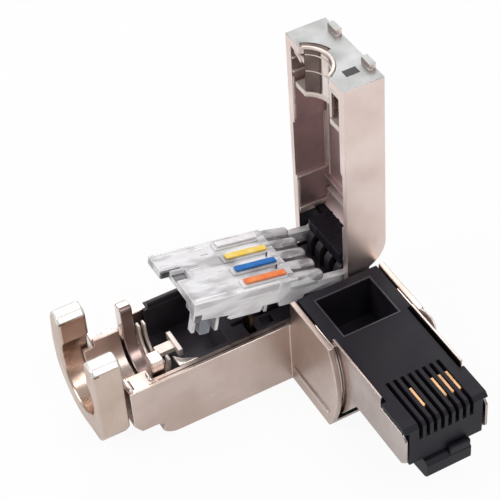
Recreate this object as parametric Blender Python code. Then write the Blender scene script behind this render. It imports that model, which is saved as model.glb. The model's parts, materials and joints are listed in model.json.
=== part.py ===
import math

import bmesh
import bpy
from mathutils import Vector

# Lengths below are in metres, written as millimetres times MM.
# The origin is on the underside, where the centre lines of the arm and the plug end cross.
# The cable arm runs towards -X, the plug end points towards -Y.

MM = 0.001
CLEARANCE = 0.3 * MM

# Outer sizes of the housing
BODY_WIDTH = 13.7 * MM
BODY_WALL = 1.2 * MM
FLOOR_THICKNESS = 1.2 * MM
CABLE_ARM_LENGTH = 29.75 * MM
PLUG_SECTION_WIDTH = 13.9 * MM
PARTING_HEIGHT = 10.2 * MM
COVER_HEIGHT = 6.0 * MM
CABLE_BELOW_PARTING = 1.1 * MM
CABLE_RADIUS = 3.4 * MM

# Neck at the cable end, where the underside is raised
NECK_LENGTH = 6.0 * MM
NECK_FLOOR = 1.3 * MM
NECK_CHAMFER = 1.4 * MM
NECK_CHAMFER_LENGTH = 1.0 * MM
NECK_STEP = 3.0 * MM
NECK_FAR_WALL_DROP = 1.7 * MM
TROUGH_RADIUS = 3.9 * MM
COLLAR_THICKNESS = 0.6 * MM
COLLAR_LENGTH = 1.5 * MM
SADDLE_SEAT_LENGTH = 3.5 * MM
SADDLE_SEAT_DEPTH = 5.1 * MM

# Shell of the plug section in front of the arm
SECTION_WALL = 0.8 * MM
SECTION_HEIGHT = 14.6 * MM
SECTION_REACH = 16.3 * MM
SECTION_BULGE = 2.0 * MM
SECTION_LEAN = 0.4 * MM

# Hinge of the cover and of the wire guide, one pin along Y
HINGE_FROM_END = 3.5 * MM
PIN_RADIUS = 0.6 * MM
EYE_RADIUS = 1.6 * MM
BEARING_GAP = 0.25 * MM
BEARING_SLOT_COUNT = 3
BEARING_SLOT_WIDTH = 1.1 * MM
BEARING_SLOT_DEPTH = 1.7 * MM

# Cover, a U channel that closes over the arm
COVER_SETBACK = 0.8 * MM
COVER_WALL = 1.2 * MM
COVER_ROOF = 0.9 * MM
COVER_CORNER_RADIUS = 4.0 * MM
COVER_END_GAP = 2.0 * MM
COVER_END_LIP = 1.3 * MM
COVER_RECESS_LEFT = 18.9 * MM
COVER_RECESS_LENGTH = 9.0 * MM
COVER_RECESS_DEPTH = 0.4 * MM
COVER_RIB_FROM_PIN = 8.2 * MM
COVER_RIB_THICKNESS = 1.0 * MM
COVER_RIB_HEIGHT = 0.7 * MM
COVER_NUB_LENGTH = 0.8 * MM
COVER_NUB_WIDTH = 2.0 * MM
COVER_NUB_INSET = 2.95 * MM
COVER_OPEN_ANGLE = math.radians(90)

# Locking ring at the cable entry, open at the top
RING_THICKNESS = 3.9 * MM
RING_GAP = 0.4 * MM
RING_NEAR_INSET = 0.2 * MM
RING_FAR_OVERHANG = 0.45 * MM
RING_DEPTH = 7.3 * MM
RING_TOP = 7.3 * MM
RING_MOUTH = 7.3 * MM
RING_CORNER = 1.3 * MM
RING_EDGE = 0.25 * MM

# Eight-way plug end, to the usual sizes of such a plug
PLUG_WIDTH = 11.68 * MM
PLUG_TOP = 14.5 * MM
PLUG_HEIGHT = 6.5 * MM
PLUG_REACH = 32.55 * MM
PLUG_NECK_REACH = 1.05 * MM
PLUG_SHOULDER_LENGTH = 5.2 * MM
PLUG_SHOULDER_THICKNESS = 0.7 * MM
PLUG_EDGE = 0.5 * MM
PLUG_SECTION_GAP = 0.4 * MM
POCKET_WIDTH = 7.8 * MM
POCKET_LENGTH = 6.9 * MM
POCKET_DEPTH = 6.6 * MM
POCKET_FROM_REAR = 1.5 * MM
SLOT_COUNT = 8
SLOT_PITCH = 1.02 * MM
SLOT_WIDTH = 0.5 * MM
SLOT_LENGTH = 7.6 * MM
SLOT_DEPTH = 1.1 * MM
SLOT_FRONT_DROP = 2.6 * MM
BLADE_THICKNESS = 0.3 * MM
BLADE_LENGTH = 4.6 * MM
BLADE_HEIGHT = 3.4 * MM
BLADE_RECESS = 0.7 * MM
BLADE_FROM_SLOT_END = 1.2 * MM
BLADE_PINS = (1, 2, 3, 6)
BLADE_POCKET = 0.25 * MM

# Sheet shield along both sides of the plug end
SHIELD_SHEET = 0.35 * MM
SHIELD_FRONT_LIP = 0.15 * MM
SHIELD_RISE = 0.7 * MM
SHIELD_FRONT_DROP = 1.0 * MM
SHIELD_SKIRT = 3.0 * MM
SHIELD_SKIRT_LENGTH = 1.8 * MM
SHIELD_SKIRT_SLOPE = 3.7 * MM
SHIELD_CORNER = 0.9 * MM
SHIELD_WEB_LENGTH = 2.4 * MM

# Latch lever under the plug end
LATCH_WIDTH = 6.3 * MM
LATCH_TAIL_WIDTH = 3.3 * MM
LATCH_OVERHANG = 0.85 * MM
LATCH_ROOT_LENGTH = 2.2 * MM
LATCH_ROOT_HEIGHT = 2.8 * MM
LATCH_TAIL_GAP = 1.25 * MM
LATCH_STEP = 8.2 * MM
LATCH_THICKNESS = 1.2 * MM
LATCH_TAIL_HEIGHT = 3.4 * MM
LATCH_STEP_DROP = 0.8 * MM
LATCH_EDGE = 0.5 * MM

# Contact carrier and its four forked contacts
CARRIER_GAP = 0.6 * MM
CARRIER_BELOW_PARTING = 0.4 * MM
CARRIER_LIP_HEIGHT = 1.0 * MM
CARRIER_WALL = 0.6 * MM
CARRIER_TROUGH_LENGTH = 6.8 * MM
CARRIER_TROUGH_SLOPE = 1.0 * MM
CARRIER_TROUGH_DEPTH = 4.2 * MM
CARRIER_GROOVE_START = 2.0 * MM
CARRIER_GROOVE_DEPTH = 1.0 * MM
BOARD_THICKNESS = 1.0 * MM
BOARD_OVERHANG = 1.9 * MM
BOARD_RIGHT = 4.6 * MM
BOARD_SETBACK = 0.7 * MM
WIRE_COUNT = 4
WIRE_BORE = 0.7 * MM
FORK_WIDTH = 1.9 * MM
FORK_THICKNESS = 0.5 * MM
FORK_SLOT = 0.35 * MM
FORK_SLOT_DEPTH = 2.6 * MM
FORK_RISE = 2.6 * MM
FORK_LEAD = 0.55 * MM
FORK_INSET = 1.45 * MM
FORK_FROM_TROUGH = 3.9 * MM
FORK_STAGGER = 3.0 * MM

# Transparent wire guide, given in its closed place, from the hinge pin
GUIDE_TILT = math.radians(12)
GUIDE_GAP = 0.35 * MM
GUIDE_STEP = 1.2 * MM
GUIDE_RIGHT = 6.0 * MM
GUIDE_SIDE_GAP = 0.35 * MM
GUIDE_LOWER_INSET = 0.5 * MM
GUIDE_BLOCK_INSET = 2.4 * MM
GUIDE_SLIT_INSET = 3.25 * MM
GUIDE_SLIT_WIDTH = 0.3 * MM
GUIDE_SLIT_LENGTH = 2.9 * MM
GUIDE_POCKET_WIDTH = 1.8 * MM
GUIDE_POCKET_LENGTH = 2.0 * MM
GUIDE_DECK_TOP = 2.2 * MM
GUIDE_DECK_THICKNESS = 1.1 * MM
GUIDE_BOTTOM = 1.0 * MM
GUIDE_SKIRT_BOTTOM = 1.8 * MM
GUIDE_WALL = 1.0 * MM
GUIDE_BORE_HEIGHT = 0.1 * MM
GUIDE_RIDGE_COUNT = 5
GUIDE_RIDGE_INSET = 0.8 * MM
GUIDE_RIDGE_RADIUS = 1.0 * MM
GUIDE_RIDGE_START = 9.6 * MM
GUIDE_RIDGE_SLANT = 1.6 * MM
GUIDE_ARM_WIDTH = 1.0 * MM
GUIDE_ARM_TOP = 0.9 * MM
GUIDE_ARM_BOTTOM = 0.8 * MM
GUIDE_EYE_RADIUS = 1.4 * MM
GUIDE_LEG_WIDTH = 0.45 * MM
GUIDE_LEG_DEPTH = 0.9 * MM
GUIDE_FIRST_LEG = 0.5 * MM
GUIDE_FIRST_LEG_DROP = 3.3 * MM
GUIDE_SECOND_LEG = 3.9 * MM
GUIDE_SECOND_LEG_DROP = 3.9 * MM
GUIDE_CLIP_LEG = 12.5 * MM
GUIDE_CLIP_LEG_DROP = 2.9 * MM
GUIDE_POST_START = 1.4 * MM
GUIDE_POST_LENGTH = 2.1 * MM
GUIDE_POST_TAPER = 0.4 * MM
GUIDE_POST_DROP = 4.0 * MM
GUIDE_POST_DEPTH = 2.1 * MM
GUIDE_FEET_INSET = 5.4 * MM
GUIDE_FEET_END = 7.4 * MM
GUIDE_FEET_GAP = 2.8 * MM
GUIDE_FIRST_FOOT_EXTRA = 1.0 * MM
GUIDE_FOOT_SLOPE = 0.3 * MM
GUIDE_FORK_CLEARANCE = 0.55 * MM
MARK_LENGTH = 5.9 * MM
MARK_WIDTH = 0.95 * MM
MARK_THICKNESS = 0.3 * MM
MARK_RIGHT = 9.8 * MM

# Cable saddle, shield contact and clamp
HORN_FAR_RISE = 4.9 * MM
HORN_NEAR_RISE = 3.2 * MM
HORN_ROUND = 0.6 * MM
SADDLE_LENGTH = 1.7 * MM
SADDLE_SIDE_GAP = 0.35 * MM
RIB_SHEET = 0.35 * MM
RIB_SPACING = 0.8 * MM
RIB_HEIGHT = 0.9 * MM
TONGUE_LENGTH = 3.0 * MM
TONGUE_WIDTH = 1.5 * MM
TONGUE_HEAD_WIDTH = 3.7 * MM
TONGUE_HEAD_LENGTH = 0.6 * MM
TONGUE_BELOW_CABLE = 0.9 * MM
TONGUE_THICKNESS = 0.75 * MM
CLAMP_SHEET = 0.4 * MM
CLAMP_RIB = 0.8 * MM

ARC_STEPS = 6

# Places worked out from the sizes above
body_half = BODY_WIDTH / 2
section_half = PLUG_SECTION_WIDTH / 2
plug_half = PLUG_WIDTH / 2
tray_half = body_half - BODY_WALL
closed_height = PARTING_HEIGHT + COVER_HEIGHT
cable_height = PARTING_HEIGHT - CABLE_BELOW_PARTING
seat_height = cable_height - SADDLE_SEAT_DEPTH
neck_rise = seat_height - NECK_FLOOR
cover_inner_half = body_half - COVER_WALL
cable_end = -CABLE_ARM_LENGTH
neck_end = cable_end + NECK_LENGTH
hinge_x = section_half - HINGE_FROM_END
hinge_height = PARTING_HEIGHT + CLEARANCE + EYE_RADIUS
pin_bore = PIN_RADIUS + CLEARANCE

saddle_left = neck_end - SADDLE_LENGTH - CLEARANCE
saddle_right = saddle_left + SADDLE_LENGTH
tray_left = saddle_left + SADDLE_SEAT_LENGTH
shield_left = saddle_right + CLEARANCE
shield_right = shield_left + RIB_SPACING + RIB_SHEET
tongue_top = cable_height - TONGUE_BELOW_CABLE
saddle_half = tray_half - SADDLE_SIDE_GAP
horn_round = min(HORN_ROUND, (saddle_half - CABLE_RADIUS) / 3)

plug_bottom = PLUG_TOP - PLUG_HEIGHT
plug_rear = -body_half - CLEARANCE
plug_front = -PLUG_REACH
shield_inner = plug_half - SHIELD_SHEET
shield_rear = PLUG_SECTION_GAP - SECTION_REACH
plug_block_front = shield_rear - PLUG_NECK_REACH
shield_front = plug_front - SHIELD_FRONT_LIP
nose_half = shield_inner - CLEARANCE
latch_top = plug_bottom - CLEARANCE

board_bottom = FLOOR_THICKNESS + CLEARANCE
carrier_bottom = board_bottom + BOARD_THICKNESS + CLEARANCE
carrier_half = tray_half - CLEARANCE
carrier_left = shield_right + CARRIER_GAP
carrier_right = section_half - BODY_WALL - CLEARANCE
carrier_top = PARTING_HEIGHT - CARRIER_BELOW_PARTING
trough_right = carrier_left + CARRIER_TROUGH_LENGTH
trough_floor = carrier_top - CARRIER_TROUGH_DEPTH
fork_left = trough_right + FORK_FROM_TROUGH
fork_top = carrier_top + FORK_RISE
wire_pitch = 2 * (carrier_half - FORK_INSET) / (WIRE_COUNT - 1)

# The cover and the wire guide are drawn shut, from the hinge pin
cover_left = cable_end + COVER_SETBACK - hinge_x
roof_height = closed_height - hinge_height
ceiling = roof_height - COVER_ROOF
cover_edge = PARTING_HEIGHT + CLEARANCE - hinge_height
clamp_right = shield_right - hinge_x + CLEARANCE + CLAMP_RIB
guide_half = cover_inner_half - GUIDE_SIDE_GAP
slit_place = guide_half - GUIDE_SLIT_INSET
ridge_pitch = 2 * (guide_half - GUIDE_RIDGE_INSET) / (GUIDE_RIDGE_COUNT - 1)
bearing_half = guide_half - GUIDE_ARM_WIDTH - BEARING_GAP
bearing_slot_pitch = (2 * bearing_half + BEARING_SLOT_WIDTH) / (BEARING_SLOT_COUNT + 1)
guide_left = clamp_right + GUIDE_GAP
guide_near_left = guide_left + GUIDE_STEP
leg_near = CARRIER_WALL + CLEARANCE - carrier_half
feet_left = guide_near_left + GUIDE_FEET_INSET
feet_length = -GUIDE_FEET_END - feet_left - GUIDE_FEET_GAP
first_foot_right = feet_left + (feet_length + GUIDE_FIRST_FOOT_EXTRA) / 2

ring_right = cable_end - RING_GAP
ring_left = ring_right - RING_THICKNESS
ring_bore = TROUGH_RADIUS + COLLAR_THICKNESS + CLEARANCE


def clearScene():
    for old in list(bpy.data.objects):
        bpy.data.objects.remove(old, do_unlink=True)


def material(name, colour, roughness, metallic, alpha=1.0):
    made = bpy.data.materials.new(name)
    made.use_nodes = True
    shader = made.node_tree.nodes["Principled BSDF"]
    shader.inputs["Base Color"].default_value = (*colour, 1.0)
    shader.inputs["Roughness"].default_value = roughness
    shader.inputs["Metallic"].default_value = metallic
    shader.inputs["Alpha"].default_value = alpha
    made.diffuse_color = (*colour, alpha)
    return made


def arc(centre, radius, start, end, steps=ARC_STEPS):
    points = []
    for step in range(steps + 1):
        angle = math.radians(start + (end - start) * step / steps)
        points.append((centre[0] + radius * math.cos(angle), centre[1] + radius * math.sin(angle)))
    return points


def bulgedEdge(start, end, bulge, steps=8):
    # Points between two corners on a shallow arc, pushed out to the left of the way
    way = Vector(end) - Vector(start)
    side = Vector((-way.y, way.x)).normalized()
    points = []
    for step in range(1, steps):
        share = step / steps
        rise = bulge * 4 * share * (1 - share)
        points.append(tuple(Vector(start) + way * share + side * rise))
    return points


def prism(outline, axis, low, high):
    # A closed solid from a flat outline; the outline's two numbers are the other two axes in order
    order = {"X": (2, 0, 1), "Y": (0, 2, 1), "Z": (0, 1, 2)}[axis]
    mesh = bmesh.new()
    corners = []
    for first, second in outline:
        triple = (first, second, low)
        corners.append(mesh.verts.new((triple[order[0]], triple[order[1]], triple[order[2]])))
    face = mesh.faces.new(corners)
    moved = bmesh.ops.extrude_face_region(mesh, geom=[face])
    shift = Vector((0, 0, 0))
    shift["XYZ".index(axis)] = high - low
    tops = [item for item in moved["geom"] if isinstance(item, bmesh.types.BMVert)]
    bmesh.ops.translate(mesh, verts=tops, vec=shift)
    bmesh.ops.recalc_face_normals(mesh, faces=mesh.faces)
    return mesh


def box(x, y, z):
    outline = [(x[0], y[0]), (x[1], y[0]), (x[1], y[1]), (x[0], y[1])]
    return prism(outline, "Z", z[0], z[1])


def rod(axis, centre, radius, low, high, steps=20):
    circle = arc(centre, radius, 0, 360 * (steps - 1) / steps, steps - 1)
    return prism(circle, axis, low, high)


def link(name, mesh, pivot, group=None):
    data = bpy.data.meshes.new(name)
    mesh.to_mesh(data)
    mesh.free()
    made = bpy.data.objects.new(name, data)
    (group or bpy.context.scene.collection).objects.link(made)
    made.parent = pivot
    return made


def addBoolean(target, name, meshes, operation, pivot):
    # One exact Boolean with a group of hidden helper shapes
    group = bpy.data.collections.new(name)
    bpy.context.scene.collection.children.link(group)
    for number, mesh in enumerate(meshes, start=1):
        helper = link(f"{name}{number}", mesh, pivot, group)
        helper.hide_render = True
        helper.display_type = "WIRE"
    change = target.modifiers.new(name, "BOOLEAN")
    change.operation = operation
    change.solver = "EXACT"
    change.operand_type = "COLLECTION"
    change.collection = group


def solid(name, finish, shapes, cuts=(), pivot=None):
    # The first shape is joined with the others, then the cuts are taken away
    made = link(name, shapes[0], pivot)
    made.data.materials.append(finish)
    if len(shapes) > 1:
        addBoolean(made, f"{name}.join", shapes[1:], "UNION", pivot)
    if cuts:
        addBoolean(made, f"{name}.cut", cuts, "DIFFERENCE", pivot)
    return made


def pivotAt(name, place, turn=(0, 0, 0)):
    made = bpy.data.objects.new(name, None)
    bpy.context.scene.collection.objects.link(made)
    made.location = place
    made.rotation_euler = turn
    made.empty_display_size = 2 * MM
    return made


def wireRows():
    middle = (WIRE_COUNT - 1) / 2
    return [(number - middle) * wire_pitch for number in range(WIRE_COUNT)]


def forkPlaces():
    places = []
    for number, row in enumerate(wireRows()):
        places.append((fork_left + FORK_STAGGER * (number % 2), row))
    return places


def baseShell(finish):
    step = cable_end + NECK_STEP
    rear_top = neck_rise + NECK_CHAMFER
    profile = [(cable_end, rear_top), (cable_end + NECK_CHAMFER_LENGTH, neck_rise)]
    profile += arc((step, neck_rise / 2), neck_rise / 2, 90, 30, 3)
    profile += arc((step + neck_rise + CLEARANCE, neck_rise), neck_rise, 215, 270, 4)
    profile += [(section_half, 0), (section_half, PARTING_HEIGHT), (cable_end, PARTING_HEIGHT)]
    arm = prism(profile, "Y", -body_half, body_half)

    front_bottom = (-SECTION_REACH, 0)
    front_top = (-SECTION_REACH - SECTION_LEAN, SECTION_HEIGHT)
    side = [(0, 0), front_bottom]
    side += bulgedEdge(front_bottom, front_top, SECTION_BULGE)
    side += [front_top, (plug_rear, SECTION_HEIGHT), (plug_rear, PARTING_HEIGHT), (0, PARTING_HEIGHT)]
    section = prism(side, "X", -section_half, section_half)

    collar_outer = TROUGH_RADIUS + COLLAR_THICKNESS
    collar = prism(arc((0, cable_height), collar_outer, 180, 360, 12), "X",
                   cable_end - COLLAR_LENGTH, cable_end + BODY_WALL)

    over = closed_height
    outside = cable_end - 2 * COLLAR_LENGTH
    section_inner = section_half - SECTION_WALL
    cuts = [
        box((tray_left, section_half - BODY_WALL), (-tray_half, tray_half), (FLOOR_THICKNESS, over)),
        box((-section_inner, section_inner), (-2 * SECTION_REACH, -tray_half + MM), (FLOOR_THICKNESS, over)),
        box((saddle_left - CLEARANCE, tray_left + MM), (-tray_half, tray_half), (seat_height, over)),
        rod("X", (0, cable_height), TROUGH_RADIUS, outside, saddle_left + MM, 24),
        box((outside, saddle_left), (-TROUGH_RADIUS, TROUGH_RADIUS), (cable_height, over)),
        box((outside, neck_end), (tray_half - MM, 2 * body_half), (cable_height - NECK_FAR_WALL_DROP, over)),
    ]
    return solid("base_shell", finish, [arm, section, collar], cuts)


def cableSaddle(finish):
    half = saddle_half
    bottom = seat_height + CLEARANCE
    round_height = cable_height + HORN_FAR_RISE - horn_round
    near_top = cable_height + HORN_NEAR_RISE
    outline = [(-half, bottom), (half, bottom)]
    outline += arc((half - horn_round, round_height), horn_round, 0, 90, 3)
    outline += arc((CABLE_RADIUS + horn_round, round_height), horn_round, 90, 180, 3)
    outline += arc((0, cable_height), CABLE_RADIUS, 0, -180, 12)
    outline += [(-CABLE_RADIUS, near_top), (-half, near_top)]
    yoke = prism(outline, "X", saddle_left, saddle_right)
    return solid("cable_saddle", finish, [yoke])


def shieldContact(finish):
    inner = CABLE_RADIUS - CLEARANCE
    outer = inner + RIB_HEIGHT
    rib_bottom = cable_height - outer
    shapes = []
    for number in range(2):
        left = shield_left + number * RIB_SPACING
        outline = arc((0, cable_height), outer, 180, 360, 12)
        outline += [(outer, PARTING_HEIGHT), (inner, PARTING_HEIGHT)]
        outline += arc((0, cable_height), inner, 360, 180, 12)
        outline += [(-inner, PARTING_HEIGHT), (-outer, PARTING_HEIGHT)]
        shapes.append(prism(outline, "X", left, left + RIB_SHEET))
    foot_top = rib_bottom + RIB_HEIGHT / 2
    foot_bottom = seat_height + CLEARANCE
    shapes.append(box((shield_left, shield_right), (-TONGUE_WIDTH, TONGUE_WIDTH), (foot_bottom, foot_top)))

    half = TONGUE_WIDTH / 2
    head_half = TONGUE_HEAD_WIDTH / 2
    tongue_left = shield_right - RIB_SHEET
    tongue_right = tongue_left + TONGUE_LENGTH
    tongue_bottom = tongue_top - TONGUE_THICKNESS
    head_top = tongue_top + TONGUE_THICKNESS / 2
    shapes.append(box((tongue_left, shield_right), (-half, half), (rib_bottom, tongue_top)))
    shapes.append(box((tongue_left, tongue_right), (-half, half), (tongue_bottom, tongue_top)))
    shapes.append(box((tongue_right - TONGUE_HEAD_LENGTH, tongue_right), (-head_half, head_half),
                      (tongue_bottom, head_top)))
    return solid("shield_contact", finish, shapes)


def lockRing(finish):
    # Drawn across the cable, round the cable axis; the mouth is at the top
    near = RING_NEAR_INSET - body_half
    far = body_half + RING_FAR_OVERHANG
    half_mouth = RING_MOUTH / 2
    edge = RING_CORNER / 2
    outline = [(near, -RING_DEPTH + 2 * RING_CORNER), (near + RING_CORNER, -RING_DEPTH + edge)]
    outline += arc((0, 0), RING_DEPTH, 250, 345, 8)
    outline += [(far, RING_CORNER), (far - edge, RING_TOP - RING_CORNER)]
    outline += [(far - RING_CORNER, RING_TOP), (half_mouth + edge, RING_TOP), (half_mouth, RING_TOP - edge)]
    mouth_angle = math.degrees(math.acos(half_mouth / ring_bore))
    outline += arc((0, 0), ring_bore, mouth_angle, -180 - mouth_angle, 18)
    outline += [(-half_mouth, RING_TOP - edge), (-half_mouth - edge, RING_TOP)]
    outline += [(near + edge, RING_TOP), (near, RING_TOP - edge)]
    pivot = pivotAt("ring_pivot", (ring_left, 0, cable_height))
    made = solid("lock_ring", finish, [prism(outline, "X", 0, RING_THICKNESS)], pivot=pivot)
    round_over = made.modifiers.new("edge", "BEVEL")
    round_over.width = RING_EDGE
    round_over.segments = 1
    round_over.limit_method = "ANGLE"
    round_over.angle_limit = math.radians(50)
    return made


def pinPlace(pin):
    # Contact 1 is on the +X side
    return ((SLOT_COUNT + 1) / 2 - pin) * SLOT_PITCH


def bladeReach():
    rear_end = plug_front + SLOT_LENGTH - BLADE_FROM_SLOT_END
    return rear_end, rear_end - BLADE_LENGTH


def plugBody(finish):
    rear_half = section_half - SECTION_WALL - CLEARANCE
    rear = box((-rear_half, rear_half), (shield_rear + CLEARANCE, plug_rear), (carrier_bottom, PLUG_TOP))
    neck = box((-nose_half, nose_half), (plug_block_front, shield_rear + MM), (carrier_bottom, PLUG_TOP))
    inside = plug_block_front + MM
    profile = [(plug_front, plug_bottom), (inside, plug_bottom), (inside, PLUG_TOP)]
    profile += [(plug_front + PLUG_EDGE, PLUG_TOP), (plug_front, PLUG_TOP - PLUG_EDGE)]
    nose = prism(profile, "X", -nose_half, nose_half)

    flange_rear = plug_front + PLUG_SHOULDER_LENGTH
    flange_bottom = PLUG_TOP - PLUG_SHOULDER_THICKNESS
    flange = [(plug_front, flange_bottom), (flange_rear, flange_bottom), (flange_rear, PLUG_TOP)]
    flange += [(plug_front + PLUG_EDGE, PLUG_TOP), (plug_front, PLUG_TOP - PLUG_EDGE)]
    shoulders = prism(flange, "X", -plug_half, plug_half)

    half = POCKET_WIDTH / 2
    pocket_rear = plug_rear - POCKET_FROM_REAR
    over = closed_height
    cuts = [box((-half, half), (pocket_rear - POCKET_LENGTH, pocket_rear), (PLUG_TOP - POCKET_DEPTH, over))]
    rear_end, front_end = bladeReach()
    blade_seat = PLUG_TOP - BLADE_RECESS - BLADE_HEIGHT - CLEARANCE
    for pin in range(1, SLOT_COUNT + 1):
        left = pinPlace(pin) - SLOT_WIDTH / 2
        right = left + SLOT_WIDTH
        cuts.append(box((left, right), (plug_front + SLOT_DEPTH / 2, plug_front + SLOT_LENGTH),
                        (PLUG_TOP - SLOT_DEPTH, over)))
        cuts.append(box((left, right), (plug_front - MM, plug_front + SLOT_DEPTH),
                        (PLUG_TOP - SLOT_FRONT_DROP, over)))
        if pin in BLADE_PINS:
            wide = BLADE_THICKNESS / 2 + CLEARANCE
            cuts.append(box((pinPlace(pin) - wide, pinPlace(pin) + wide),
                            (front_end - CLEARANCE, rear_end + CLEARANCE),
                            (blade_seat, PLUG_TOP - SLOT_DEPTH + BLADE_POCKET)))
    return solid("plug_body", finish, [rear, neck, nose, shoulders], cuts)


def contactBlades(finish):
    rear_end, front_end = bladeReach()
    top = PLUG_TOP - BLADE_RECESS
    bottom = top - BLADE_HEIGHT
    for pin in BLADE_PINS:
        outline = [(rear_end, bottom), (rear_end, top - BLADE_RECESS), (rear_end - BLADE_RECESS, top)]
        outline += [(front_end + BLADE_RECESS, top), (front_end, top - BLADE_RECESS), (front_end, bottom)]
        left = pinPlace(pin) - BLADE_THICKNESS / 2
        solid(f"contact_blade_{pin}", finish, [prism(outline, "X", left, left + BLADE_THICKNESS)])


def plugShield(finish):
    skirt_end = shield_rear - SHIELD_SKIRT_LENGTH
    front_top = PLUG_TOP - SHIELD_FRONT_DROP
    top = PLUG_TOP + SHIELD_RISE
    step = plug_front + PLUG_SHOULDER_LENGTH + CLEARANCE
    outline = [(shield_rear, SHIELD_SKIRT), (skirt_end, SHIELD_SKIRT)]
    outline += [(skirt_end - SHIELD_SKIRT_SLOPE, plug_bottom), (shield_front + SHIELD_CORNER, plug_bottom)]
    outline += [(shield_front, plug_bottom + SHIELD_CORNER), (shield_front, front_top - SHIELD_CORNER)]
    outline += [(shield_front + SHIELD_CORNER, front_top), (step, front_top), (step, top), (shield_rear, top)]
    far_side = prism(outline, "X", shield_inner, plug_half)
    near_side = prism(outline, "X", -plug_half, -shield_inner)
    half = plug_half - SHIELD_SHEET / 2
    web_rear = plug_block_front - CLEARANCE
    web = box((-half, half), (web_rear - SHIELD_WEB_LENGTH, web_rear), (latch_top - SHIELD_SHEET, latch_top))
    return solid("plug_shield", finish, [web, near_side, far_side])


def latchLever(finish):
    root_half = LATCH_ROOT_HEIGHT / 2
    rear = LATCH_ROOT_LENGTH / 2
    front = -rear
    pivot_place = (0, plug_front - LATCH_OVERHANG + rear, latch_top - root_half)
    pivot = pivotAt("latch_pivot", pivot_place)
    tail_end = plug_block_front - LATCH_TAIL_GAP - pivot_place[1]
    tail_bottom = LATCH_TAIL_HEIGHT - pivot_place[2]
    step_bottom = -root_half - LATCH_STEP_DROP
    step_top = step_bottom + LATCH_THICKNESS

    head = [(front, LATCH_EDGE - root_half), (front + LATCH_EDGE, -root_half), (LATCH_STEP, step_bottom)]
    head += [(LATCH_STEP, step_top), (rear + LATCH_THICKNESS, LATCH_THICKNESS - root_half)]
    head += [(rear, root_half), (front + LATCH_EDGE, root_half), (front, root_half - LATCH_EDGE)]
    wide = prism(head, "X", -LATCH_WIDTH / 2, LATCH_WIDTH / 2)
    tail_start = LATCH_STEP - LATCH_THICKNESS
    lever = [(tail_start, step_bottom), (tail_end, tail_bottom), (tail_end, tail_bottom + LATCH_THICKNESS)]
    lever += [(tail_start, step_top)]
    tail = prism(lever, "X", -LATCH_TAIL_WIDTH / 2, LATCH_TAIL_WIDTH / 2)
    return solid("latch", finish, [wide, tail], pivot=pivot)


def contactBoard(finish):
    half = carrier_half - CARRIER_WALL
    front = BOARD_SETBACK - SECTION_REACH
    board_left = fork_left - BOARD_OVERHANG
    outline = [(board_left, -half), (-BOARD_RIGHT, -half), (-BOARD_RIGHT, front), (BOARD_RIGHT, front)]
    outline += [(BOARD_RIGHT, half), (board_left, half)]
    return solid("contact_board", finish, [prism(outline, "Z", board_bottom, board_bottom + BOARD_THICKNESS)])


def contactCarrier(finish):
    # One moulding: trough, fork block and, at its right end, the bearing of the hinge pin
    inner = carrier_half - CARRIER_WALL
    lip_top = carrier_top + CARRIER_LIP_HEIGHT
    bearing_left = hinge_x - EYE_RADIUS
    block = box((carrier_left, carrier_right), (-carrier_half, carrier_half), (carrier_bottom, carrier_top))
    lip = box((carrier_left, bearing_left - EYE_RADIUS), (inner, carrier_half), (carrier_top - MM, lip_top))
    bearing = [(bearing_left, carrier_top - MM), (carrier_right, carrier_top - MM)]
    bearing += [(carrier_right, PARTING_HEIGHT + CLEARANCE)]
    bearing += arc((hinge_x, hinge_height), EYE_RADIUS, -30, 180, 10)
    bearing_block = prism(bearing, "Y", -bearing_half, bearing_half)

    outside = carrier_left - MM
    over = carrier_top + MM
    trough = [(outside, trough_floor), (trough_right, trough_floor)]
    trough += [(trough_right, carrier_top - MM), (trough_right + CARRIER_TROUGH_SLOPE, over), (outside, over)]
    cuts = [prism(trough, "Y", -inner, inner)]
    wide = FORK_WIDTH / 2 + CLEARANCE
    thick = FORK_THICKNESS / 2 + CLEARANCE
    for place, row in forkPlaces():
        cuts.append(box((place - thick, place + thick), (row - wide, row + wide),
                        (carrier_bottom - MM, over)))
    groove_left = trough_right + CARRIER_GROOVE_START
    for row in wireRows()[1:]:
        edge = row - wire_pitch / 2
        cuts.append(box((groove_left, bearing_left - EYE_RADIUS), (edge - CLEARANCE, edge + CLEARANCE),
                        (carrier_top - CARRIER_GROOVE_DEPTH, over)))
    leg_left = hinge_x - GUIDE_CLIP_LEG
    cuts.append(box((leg_left - 2 * CLEARANCE, leg_left + GUIDE_LEG_WIDTH + 2 * CLEARANCE),
                    (leg_near - CLEARANCE, leg_near + GUIDE_LEG_DEPTH + CLEARANCE),
                    (hinge_height - GUIDE_CLIP_LEG_DROP - 2 * CLEARANCE, over)))
    for number in range(BEARING_SLOT_COUNT):
        middle = (number - (BEARING_SLOT_COUNT - 1) / 2) * bearing_slot_pitch
        cuts.append(box((bearing_left - MM, bearing_left + BEARING_SLOT_DEPTH - PIN_RADIUS),
                        (middle - BEARING_SLOT_WIDTH / 2, middle + BEARING_SLOT_WIDTH / 2),
                        (carrier_top, hinge_height + 2 * EYE_RADIUS)))
    cuts.append(rod("Y", (hinge_x, hinge_height), pin_bore, -2 * bearing_half, 2 * bearing_half, 12))
    return solid("contact_carrier", finish, [block, lip, bearing_block], cuts)


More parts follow.
